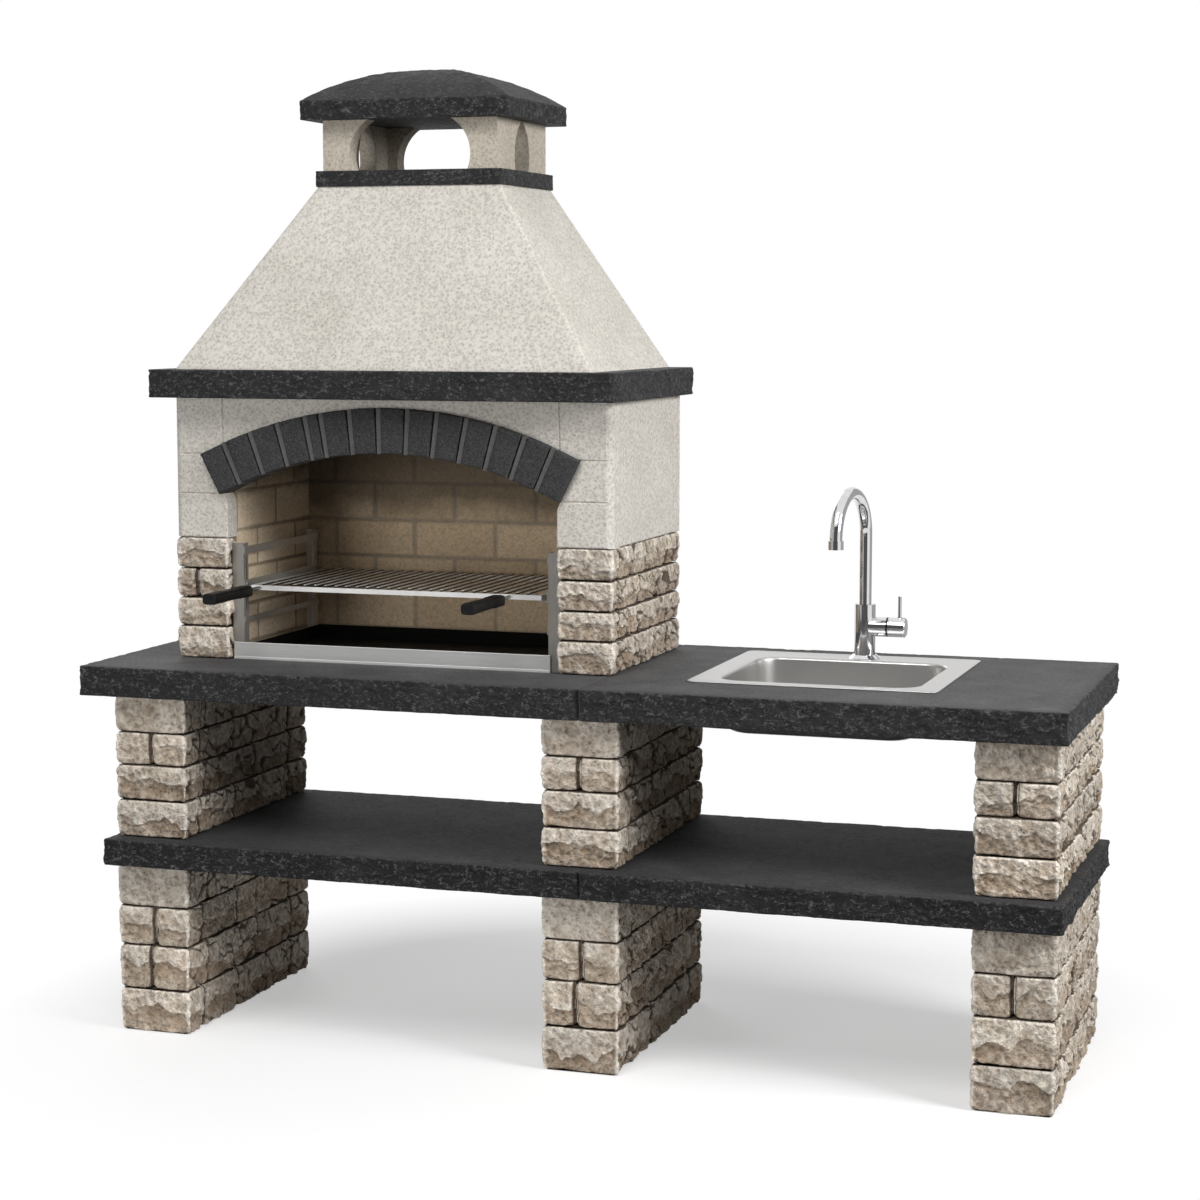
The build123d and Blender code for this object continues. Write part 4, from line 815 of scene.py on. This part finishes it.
def slab_skin(low, high, seed, rough, relief, opening=None, opening_radius=0.004):
    """Slab with broken sides and an unevenly chipped top edge.

    Side offset = set-backs below three ragged levels, chip hollows at two sizes and fine noise. The top edge is a
    quarter-round whose radius varies along it. Flat rings inside the edges carry the flat faces or go on to an
    opening.
    """
    rough = np.array(rough)
    gap = np.where(rough, 0.0, SLAB_GAP)
    low = low + np.array([gap[3], gap[0], 0.0])
    high = high - np.array([gap[1], gap[2], SLAB_TOP_CLEAR])
    size = high - low
    lengths = np.tile(size[:2], 2)
    columns = columns_round([math.ceil(length / SLAB_STEP) if on else 40 for length, on in zip(lengths, rough)])
    side, _, out = columns
    chiselled = rough[side]
    plan = outline(columns, low, high, SLAB_CORNER)
    along = way_round(plan)
    chipped = layered_noise(lift(plan, 0.0), 0.05, seed, 4) + 0.5 * broken_line(along, 0.012, seed + 1)
    ragged = np.clip(chipped, 0, 1)
    arris = np.where(chiselled, relief * (0.0020 + 0.0060 * ragged), 0.0008)
    foot = np.where(chiselled, relief * 0.003, 0.0008)
    rise = np.linspace(0, 1, max(4, math.ceil(size[2] / SLAB_STEP)))[:, None]
    heights = low[2] + foot + rise * (size[2] - foot - arris)
    base = raised(plan, heights)
    long = base * np.array([0.55, 0.55, 1.0])
    chips = 0.0050 * (scallops(long, 0.030, seed + 5) - 0.42) + 0.0038 * (scallops(long, 0.011, seed + 7) - 0.4)
    flake = np.zeros(heights.shape)
    for count, (middle_part, drop, reach) in enumerate(SLAB_LEVELS):
        wander = 0.20 * broken_line(along, 0.045, seed + 20 + count)
        wander += 0.09 * broken_line(along, 0.011, seed + 30 + count)
        below = low[2] + size[2] * (middle_part + wander) - heights
        strength = np.clip(0.45 + 0.9 * broken_line(along, 0.035, seed + 40 + count), 0, 1)
        chips = chips - set_back(below, drop * strength, reach)
        # Painted highlight mask: a thin line just above each set-back level
        flake = np.maximum(flake, strength * (1 - smooth_step(np.abs(below + 0.001), 0.0005, 0.0035)))
    chips = relief * (chips + 0.002) + 0.0009 * layered_noise(base, 0.008, seed + 11)
    offset = np.clip(chips, -0.010, 0.0035) - edge_round(from_end(columns, lengths, ~rough), SLAB_CORNER)
    source, move = joint_columns(columns, rough)
    offset = np.where(chiselled[source], offset[:, source], 0.0)
    middle = base.copy()
    middle[..., :2] += offset[..., None] * move

    def edge(turn, at_top):
        """Ring of the rounded edge at an angle of its quarter turn."""
        reach, start = (arris, offset[-1]) if at_top else (foot, offset[0])
        drop = reach * (1 - math.sin(turn))
        inward = reach * (1 - math.cos(turn))
        moved = plan + start[:, None] * move - inward[:, None] * out
        return lift(moved, high[2] - drop if at_top else low[2] + drop)

    def border(height):
        """Flat ring a border's width inside the edge."""
        return lift(outline(columns, low[:2] + SLAB_BORDER, high[:2] - SLAB_BORDER, SLAB_CORNER), height)

    turns = (math.pi / 2, math.pi / 4)
    rings = [border(low[2])] + [edge(turn, False) for turn in turns] + list(middle)
    rings += [edge(turn, True) for turn in reversed(turns)] + [border(high[2])]
    still = np.zeros((1, len(plan)))
    edge_row = np.where(chiselled, 1.0, 0.0)[None]
    sides = np.broadcast_to(edge_row, flake.shape)
    broken = np.vstack([still, edge_row, edge_row, sides, edge_row, 0.5 * edge_row, still])
    # Painted highlight mask: the set-back lines on chiselled sides and the top edge rings
    flake = np.vstack([still, still, still, np.where(chiselled, flake, 0.0), edge_row, edge_row, still])
    if opening is None:
        return skin(rings, flake=flake, broken=broken)
    hole = outline(columns, opening[0], opening[1], opening_radius)
    rings = [lift(hole, low[2])] + rings + [lift(hole, high[2])]
    flake, broken = (np.vstack([still, value, still]) for value in (flake, broken))
    return skin(rings, looped=True, flake=flake, broken=broken)


def arch_height(part, half, rise):
    """Height of a circular arch over a chord at a signed distance from its middle."""
    radius = (half ** 2 + rise ** 2) / (2 * rise)
    return np.sqrt(np.clip(radius ** 2 - part ** 2, 0, None)) - (radius - rise)


def cap_skin(low, high, rim, seed):
    """Chimney cap: chiselled rim, and a four-sided dome whose height is the lower of two crossed arches."""
    size = high - low
    columns = columns_round([math.ceil(length / SLAB_STEP) for length in np.tile(size[:2], 2)])
    out = columns[2]
    plan = outline(columns, low, high, SLAB_CORNER)
    middle = (low + high) / 2
    half = size / 2
    rise = high[2] - rim
    base = raised(plan, np.linspace(low[2] + 0.002, rim - 0.004, 11)[:, None])
    offset = 0.007 * (scallops(base, 0.03, seed) - 0.45) + 0.0035 * (scallops(base, 0.013, seed + 3) - 0.4)
    offset = np.clip(offset, -0.006, 0.002)
    sides = base.copy()
    sides[..., :2] += offset[..., None] * out
    shrink = 1 - np.linspace(0.012, 1, 46)[:, None, None] ** 1.25 * 0.992
    spot = (plan - middle[:2]) * shrink
    dome = np.minimum(arch_height(spot[..., 0], half[0], rise), arch_height(spot[..., 1], half[1], rise))
    rough = np.concatenate([spot + middle[:2], (rim + dome)[..., None]], -1)
    bumps = 0.0022 * (scallops(rough, 0.022, seed + 9) - 0.4) + 0.001 * layered_noise(rough, 0.01, seed + 12)
    rough[..., 2] = np.minimum(rim + dome + bumps * smooth_step(shrink[..., 0], 0.0, 0.05), high[2])
    bottom = lift(outline(columns, low[:2] + 0.002, high[:2] - 0.002, SLAB_CORNER), low[2])
    still = np.zeros((1, len(plan)))
    # Painted highlight mask: proud parts of the rim and bumps of the dome
    flake = np.vstack([still, smooth_step(offset, 0.0, 0.002), 0.6 * smooth_step(bumps, 0.0006, 0.0016)])
    broken = np.vstack([still + 1, np.ones(offset.shape), np.full(bumps.shape, 0.7)])
    return skin(np.concatenate([bottom[None], sides, rough]), flake=flake, broken=broken)


def hood_skin(name, top, wall, radius):
    """Hollow hood: rounded rectangles from the wide base to the narrow top, then back down inside its wall."""
    low, high = node_box(name)
    columns = columns_round((30, 20, 30, 20), 5)

    def level(part, inset):
        """Ring at a part of the height, drawn in by an inset."""
        start = low[:2] + (top[0] - low[:2]) * part + inset
        stop = high[:2] + (top[1] - high[:2]) * part - inset
        return lift(outline(columns, start, stop, radius), low[2] + part * (high[2] - low[2]))

    outside = [level(part, 0.0) for part in np.linspace(0, 1, 24)]
    inside = [level(part, wall) for part in np.linspace(1, 0, 12)]
    return skin(outside + inside, looped=True)


def arch_layout():
    """Angles of the arch stones and of the joints after all but the last."""
    total = 2 * ARCH_HALF_ANGLE - ARCH_SLIVER_ANGLE - ARCH_STONES * ARCH_JOINT_ANGLE
    widths = [total / ARCH_STONES] * ARCH_STONES
    widths.insert(STONES_BEFORE_SLIVER, ARCH_SLIVER_ANGLE)
    starts = np.cumsum([-ARCH_HALF_ANGLE] + [width + ARCH_JOINT_ANGLE for width in widths[:-1]])
    stones = [(start, start + width) for start, width in zip(starts, widths)]
    return stones, [(stop, stop + ARCH_JOINT_ANGLE) for _, stop in stones[:-1]]


def bent(rings):
    """Points bent round the arch: along the ring, across it and forward become x, z and -y.

    x = middle + radius x sin(angle) and z = middle + radius x cos(angle).
    """
    turn = rings[..., 0] / ARCH_MEAN
    x = ARCH_X + rings[..., 1] * np.sin(turn)
    return np.stack([x, -rings[..., 2], ARCH_Z + rings[..., 1] * np.cos(turn)], -1)


def arch_skins(ring_y, seed):
    """Arch stones: blocks with slightly rounded front edges and a light chipped relief, bent round the arch."""
    skins = []
    for count, (start, stop) in enumerate(arch_layout()[0]):
        low = np.array([start * ARCH_MEAN, ARCH_RADII[0], -ring_y[1]])
        high = np.array([stop * ARCH_MEAN, ARCH_RADII[1], -ring_y[0]])
        across = max(2, math.ceil((high[0] - low[0]) / 0.004))
        columns = columns_round((across, 26, across, 26), 4)
        plan = outline(columns, low, high, 0.0015)
        back = np.linspace(low[2], high[2] - ARCH_EDGE, 12)
        front = ARCH_EDGE * np.linspace(0.25, 1, 4)
        depth = np.append(back, high[2] - ARCH_EDGE + front)[:, None]
        draw = np.append(np.zeros(len(back)), ARCH_EDGE - np.sqrt(ARCH_EDGE ** 2 - front ** 2))
        rings = raised(plan, depth)
        chips = 0.0030 * (scallops(rings, 0.012, seed + count) - 0.55) * smooth_step(depth, back[-4], high[2])
        rings[..., :2] += (np.minimum(chips, 0.0) - draw[:, None])[..., None] * columns[2]
        inset = 0.010 if across > 8 else 0.005
        face = outline(columns, low[:2] + inset, high[:2] - inset, 0.002)
        level = high[2] + 0.0006 * layered_noise(lift(face, high[2]), 0.02, seed + 60 + count)
        skins.append(skin(bent(np.concatenate([rings, lift(face, level)[None]]))))
    return skins


def joint_skins(ring_y, front, seed):
    """Arch joints: strips just behind the stones' faces, each with an open groove along its first edge."""
    skins = []
    for start, stop in arch_layout()[1]:
        left, groove, right = (turn * ARCH_MEAN for turn in (start, start + ARCH_GROOVE_ANGLE, stop))
        deep = front + ARCH_JOINT_DEPTH
        section = [(left, ring_y[1]), (left, deep), (groove, deep)]
        section += [(x, front) for x in np.linspace(groove, right, 6)] + [(right, ring_y[1])]
        section = np.array(section)
        rings = []
        for radius in np.linspace(*ARCH_RADII, 36):
            ring = np.column_stack([section[:, 0], np.full(len(section), radius), -section[:, 1]])
            ring[4:9, 2] += 0.0006 * layered_noise(ring[4:9], 0.009, seed)
            rings.append(ring)
        skins.append(skin(bent(np.array(rings))))
    return skins


def brick_panel(corner, across, width, tall, thick, from_start, seed):
    """Running-bond lining: a grid whose face drops into mortar joints, with a small set-back by brick and noise.

    Depth = joint depth x (1 - smooth step of the distance to the nearest joint). Courses rise from a cut first one,
    and bricks are counted from the first corner or the far end. The brick's row and count give its tone.
    """
    along = np.linspace(0, width, math.ceil(width / BRICK_STEP) + 1)[None, :]
    up = np.linspace(0, tall, math.ceil(tall / BRICK_STEP) + 1)[:, None]
    course = (up - BRICK_FOOT_H) / BRICK_H + 1
    row = np.floor(course)
    counted = along if from_start else width - along
    shifted = (counted + BRICK_L / 2 * (row % 2)) / BRICK_L
    cells = np.stack(np.broadcast_arrays(row, np.floor(shifted), np.full_like(row, seed)), -1).astype(np.int64)
    from_side = np.abs(shifted - np.round(shifted)) * BRICK_L
    from_bed = np.abs(course - np.round(course)) * BRICK_H
    near = np.minimum(from_side, from_bed)
    out = np.cross(across, (0, 0, 1))
    points = np.asarray(corner) + along[..., None] * np.asarray(across) + up[..., None] * np.array((0, 0, 1.0))
    wobble = 0.0012 * layered_noise(points, 0.03, seed)
    groove = 1 - smooth_step(near + wobble, MORTAR_HALF - 0.001, MORTAR_HALF + 0.0015)
    proud = 0.0012 * (lattice(cells, seed + 2) - 1) + 0.0005 * layered_noise(points, 0.012, seed + 4)
    depth = np.minimum(proud, 0) * (1 - groove) - MORTAR_DEPTH * groove
    return panel(points + depth[..., None] * out, -thick * out, tone=lattice(cells, seed + 1), mortar=groove)


def sink_skin(rim_box, bowl_box, waste):
    """Pressed sink sheet: rolled outer edge, flat rim, rounded lip, tapered wall, rounded floor and waste hole.

    Each ring is a rounded rectangle drawn in from the rim to the bowl; the last ones are circles about the waste.
    """
    columns = columns_round((44, 40, 44, 40), 12)
    top, floor = rim_box[1][2], bowl_box[0][2]
    depth = top - floor
    rings = []

    def draw_in(box, inward, corner, drop):
        """Add a ring drawn in from a box, at a drop below the top."""
        rings.append(lift(outline(columns, box[0][:2] + inward, box[1][:2] - inward, corner), top - drop))

    for turn in np.linspace(0.0, 1.0, 5) * math.pi / 2:
        draw_in(rim_box, RIM_EDGE * (1 - math.cos(turn)), RIM_CORNER, RIM_EDGE * (1 - math.sin(turn)))
    draw_in(bowl_box, -LIP - LIP_BORDER, BOWL_CORNER + LIP, LIP_DROP)
    for turn in np.linspace(0.0, 1.0, 7) * math.pi / 2:
        outward = LIP - LIP * math.sin(turn)
        draw_in(bowl_box, -outward, BOWL_CORNER + outward, LIP_DROP + LIP * (1 - math.cos(turn)))
    for part in np.linspace(0.1, 1.0, 9):
        drop = LIP + part * (depth - LIP - BOWL_BEND)
        draw_in(bowl_box, BOWL_TAPER * drop, BOWL_CORNER - BOWL_TAPER * drop, drop)
    for turn in np.linspace(0.12, 1.0, 8) * math.pi / 2:
        inward = BOWL_TAPER * (depth - BOWL_BEND) + BOWL_BEND * (1 - math.cos(turn))
        draw_in(bowl_box, inward, BOWL_CORNER - 0.5 * inward, depth - BOWL_BEND + BOWL_BEND * math.sin(turn))
    last = rings[-1][:, :2] - waste
    circle = last / np.linalg.norm(last, axis=1)[:, None] * WASTE_RADIUS
    for part in np.linspace(0.2, 1.0, 8):
        rings.append(lift(waste + last + (circle - last) * part, floor - 0.0006 * part))
    return skin(np.array(rings), capped=False)


def grip_skin(middle, y, width, tall):
    """Handle grip: rounded boxes along Y with a thicker collar at the rod, a slight waist and a flat free end."""
    angle = np.linspace(0, 2 * math.pi, 56, endpoint=False)
    collar = np.array([0, 0.003, 0.010, 0.020, 0.15, 0.28, 0.30, 0.32])
    part = np.concatenate([collar, np.linspace(0.38, 0.90, 10), [0.95, 0.975, 0.985, 0.993, 0.998, 1.0]])
    swell = 1.0 - 0.07 * smooth_step(part, 0.28, 0.32) + 0.07 * smooth_step(part, 0.45, 0.85)
    start = 0.88 + 0.12 * np.sqrt(np.clip(part / 0.02, 0, 1))
    stop = 0.86 + 0.14 * np.sqrt(np.clip((1 - part) / 0.025, 0, 1))
    reach = (swell * start * stop)[:, None]
    across, up = (np.sign(wave) * np.abs(wave) ** 0.48 for wave in (np.cos(angle), np.sin(angle)))
    x = middle[0] + width / 2 * reach * across
    z = middle[1] + tall / 2 * reach * up
    along = np.broadcast_to((y[1] + (y[0] - y[1]) * part)[:, None], x.shape)
    return skin(np.stack([x, along, z], -1))


def fender_skin(low, high):
    """Fender sheet: a section with a rolled hem at its top and a folded foot, carried along X."""
    hem = (high[1] - low[1]) / 2
    face = low[1] + 0.0012
    turn = np.linspace(0.0, 1.15, 12) * math.pi
    top = np.column_stack([high[1] - hem + hem * np.cos(turn), high[2] - hem + hem * np.sin(turn)])
    front = [[face, high[2] - 1.9 * hem], [face, low[2] + 0.0060], [low[1], low[2] + 0.0050], [low[1], low[2]]]
    section = np.vstack([[[high[1], low[2]]], top, front])
    # Painted highlight mask: the rolled hem and the folded foot
    hem_highlight = np.concatenate([[0.0], np.ones(len(top)), [0.0, 0.0, 1.0, 1.0]])
    places = np.linspace(low[0], high[0], 40)
    return skin(np.stack([np.column_stack([np.full(len(section), x), section]) for x in places]), hem=hem_highlight)


# Pieces, each with its own seed
seed = 100
for pier in ("left_pier", "middle_pier", "right_pier"):
    for part, courses in (("lower", LOWER_COURSES), ("upper", UPPER_COURSES)):
        node = f"{pier}_{part}"
        stones = make_piece(f"{node}_stones", pier_stones(node, courses, seed))
        dress(stones, "split_stone", [node])
        seed += 300
for hand in ("left", "right"):
    stones = make_piece(f"{hand}_firebox_stones", fire_stones(hand, seed))
    dress(stones, "split_stone", [f"{hand}_fire_stones"])
    seed += 300

bowl_low, bowl_high = node_box("sink_bowl")
sink_gap = np.array([SINK_GAP, SINK_GAP, 0.0])
SLABS = {
    "counter_left": (LEFT_SLAB, 1.0),
    "counter_right": (RIGHT_SLAB, 1.0, (bowl_low - sink_gap, bowl_high + sink_gap), SINK_HOLE_CORNER),
    "shelf_left": (LEFT_SLAB, 1.0),
    "shelf_right": (RIGHT_SLAB, 1.0),
    "mantel_slab": (WHOLE_SLAB, 0.7, MANTEL_FLUE),
    "chimney_collar": (WHOLE_SLAB, 0.3, COLLAR_FLUE),
}
for node, settings in SLABS.items():
    piece = make_piece(f"{node}_stone", [slab_skin(*node_box(node), seed, *settings)], 50)
    dress(piece, "dark_slab", [node], finish=SHADED_SHELF_SLAB if node.startswith("shelf") else None)
    seed += 50

low, high = node_box("chimney_cap")
cap = make_piece("chimney_cap_stone", [cap_skin(low, high, low[2] + CAP_RIM, seed)], 50)
dress(cap, "dark_slab", ["chimney_cap"])

low, high = node_box("chimney_collar")
hood_top = (low[:2] + HOOD_INSET, high[:2] - HOOD_INSET)
hood = make_piece("hood_shell", [hood_skin("hood", hood_top, HOOD_WALL, HOOD_CORNER)], 50)
dress(hood, "light_cast", ["hood"])

low, high = node_box("arch_stones")
arch = make_piece("arch_ring", arch_skins((low[1], high[1]), 900), 50)
dress(arch, "dark_arch", ["arch_stones"])
joint_y = (low[1], node_box("arch_mortar")[1][1])
joints = make_piece("arch_joints", joint_skins(joint_y, low[1] + ARCH_JOINT_SET_BACK, 940), 30)
dress(joints, "arch_joint", ["arch_mortar"])

# Linings: box ends in X and Y of the face's first corner, direction and axis along the face, whether bricks are
# counted from that corner, and the seed
LININGS = {
    "rear": (0, 0, (1, 0, 0), 0, False, 5),
    "left": (1, 0, (0, 1, 0), 1, False, 8),
    "right": (0, 1, (0, -1, 0), 1, True, 11),
}
for hand, (end_x, end_y, across, axis, from_start, lining_seed) in LININGS.items():
    box = node_box(f"{hand}_firebrick")
    size = box[1] - box[0]
    corner = (box[end_x][0], box[end_y][1], box[0][2])
    lining = brick_panel(corner, across, size[axis], size[2], size[1 - axis], from_start, lining_seed)
    bricks = make_piece(f"{hand}_brickwork", [lining], 30)
    dress(bricks, "firebrick", [f"{hand}_firebrick"], finish=None if hand == "rear" else LIT_SIDE_FIREBRICK)

inner_bowl = (bowl_low + SINK_SHEET, bowl_high - np.array([SINK_SHEET, SINK_SHEET, 0.0]))
waste = sum(node_box("waste_cup"))[:2] / 2
sink = make_piece("sink_sheet", [sink_skin(node_box("sink_rim"), inner_bowl, waste)], 60)
dress(sink, "stainless", ["sink_rim", "sink_bowl"], finish=SINK_STEEL)
thick = sink.modifiers.new("sheet", "SOLIDIFY")
thick.thickness = SINK_SHEET
thick.offset = -1

low, high = node_box("handle_grips")
grip_places = (low[0] + GRIP_WIDTH / 2, high[0] - GRIP_WIDTH / 2)
grip_z = (low[2] + high[2]) / 2
grips = [grip_skin((x, grip_z), (low[1], high[1]), GRIP_WIDTH, high[2] - low[2]) for x in grip_places]
dress(make_piece("grips", grips), "black_grip", ["handle_grips"], "grate")
fender = make_piece("fender", [fender_skin(*node_box("tray_fender"))], 22)
dress(fender, "stainless", ["tray_fender"], "tray", FENDER_STEEL)

rack = ("left_posts", "right_posts", "left_rails", "right_rails", "left_runner", "right_runner")
OWN_FINISHES = {
    **dict.fromkeys(rack, POST_STEEL),
    "grate_frame": RACK_STEEL,
    "grate_rods": TOP_LIT_ROD_STEEL,
    "chimney_posts": CAP_SHADED_CAST,
    "tap_valve_cap": SEAM_SHADED_CHROME,
}
slots = {row["node"]: row["material_slot"] for row in frame["record"]["subparts"]}
for name, node in frame["nodes"].items():
    node.data.materials.clear()
    node.data.materials.append(OWN_FINISHES.get(name, FINISHES[slots[name]]))

# Camera, light and floor
scene = bpy.context.scene
scene.view_settings.view_transform = "Standard"
camera = bpy.data.objects.new("camera", bpy.data.cameras.new("camera"))
camera.location = CAMERA_PLACE
camera.rotation_euler = CAMERA_TURN
camera.data.lens = CAMERA_LENS
camera.data.sensor_width = 36
scene.collection.objects.link(camera)
scene.camera = camera

world = bpy.data.worlds.new("studio")
scene.world = world
world.use_nodes = True
tree = world.node_tree
back = tree.nodes["Background"]
back.inputs["Color"].default_value = (1, 1, 1, 1)
level = add(tree, "MapRange", {"Value": seen_rays(tree), "To Min": WORLD_LIGHT, "To Max": 1.0})
tree.links.new(level.outputs[0], back.inputs["Strength"])


def area_light(name, place, aim, size, power):
    """Square soft light that looks at a point."""
    lamp = bpy.data.lights.new(name, "AREA")
    lamp.size = size
    lamp.energy = power
    lamp_object = bpy.data.objects.new(name, lamp)
    lamp_object.location = place
    across, deep, up = np.array(aim) - np.array(place)
    tilt = math.atan2(math.hypot(across, deep), -up)
    lamp_object.rotation_euler = (tilt, 0, math.atan2(deep, across) - math.pi / 2)
    scene.collection.objects.link(lamp_object)
    return lamp_object


area_light("side_light", (4.9, -1.4, 3.0), (0.0, 0.0, 1.0), 2.0, 240)
area_light("top_light", (0.2, -3.6, 5.4), (0.0, 0.0, 1.2), 2.5, 130)
area_light("front_light", (-2.5, -5.0, 1.0), (-0.4, 0.0, 0.8), 2.0, 92).visible_glossy = False
area_light("back_light", (-3.2, 4.6, 3.6), (0.0, 0.0, 1.0), 2.5, 42)

floor_finish = Finish("floor", Roughness=0.9, Specular_IOR_Level=0.0)
from_middle = add(floor_finish.tree, "VectorMath", {0: floor_finish.place}, operation="LENGTH").outputs["Value"]
away = floor_finish.math("DIVIDE", from_middle, FADE_UNIT)
floor_finish.drive(
    Base_Color=floor_finish.ramp(away, (0.19, 0.68), (0.29, 0.0)),
    Emission_Color=floor_finish.ramp(away, (0.19, 0.43), (0.29, 1.0)),
    Emission_Strength=floor_finish.math("MULTIPLY_ADD", seen_rays(floor_finish.tree), 1 - FLOOR_LIGHT, FLOOR_LIGHT),
)


def staged(name, points, faces, finish):
    """Object of the studio, which isn't part of the station."""
    mesh = bpy.data.meshes.new(name)
    mesh.from_pydata(points.tolist(), [], faces)
    mesh.materials.append(finish.material)
    piece = bpy.data.objects.new(name, mesh)
    scene.collection.objects.link(piece)
    return piece


circle = np.linspace(0, 2 * math.pi, FLOOR_CORNERS, endpoint=False)
floor_points = FLOOR_RADIUS * np.column_stack([np.cos(circle), np.sin(circle), np.zeros(FLOOR_CORNERS)])
staged("floor", floor_points, [list(range(FLOOR_CORNERS))], floor_finish)


def studio_panel(name, angles, grey):
    """Upright curved panel of the studio at a range of angles from the front, which only shows in polished metal."""
    turn = np.radians(np.linspace(*angles, PANEL_COLUMNS))
    foot = PANEL_RADIUS * np.column_stack([np.sin(turn), -np.cos(turn), np.zeros(PANEL_COLUMNS)])
    points = np.vstack([foot, foot + (0, 0, PANEL_HEIGHT)])
    low = np.arange(PANEL_COLUMNS - 1)
    high = low + PANEL_COLUMNS
    faces = np.stack([low, low + 1, high + 1, high], -1).tolist()
    finish = Finish(name, Base_Color=(0, 0, 0, 1), Specular_IOR_Level=0.0, Roughness=1.0, Emission_Strength=1.0)
    finish.surface.inputs["Emission Color"].default_value = (grey, grey, grey, 1)
    piece = staged(name, points, faces, finish)
    for ray in ("camera", "diffuse", "transmission", "shadow"):
        setattr(piece, f"visible_{ray}", False)


studio_panel("panel_far_left", (-112, -69), 0.12)
studio_panel("panel_left", (-67, -29), 0.50)
studio_panel("panel_front", (-26, 45), 0.10)
studio_panel("panel_right", (90, 165), 0.45)
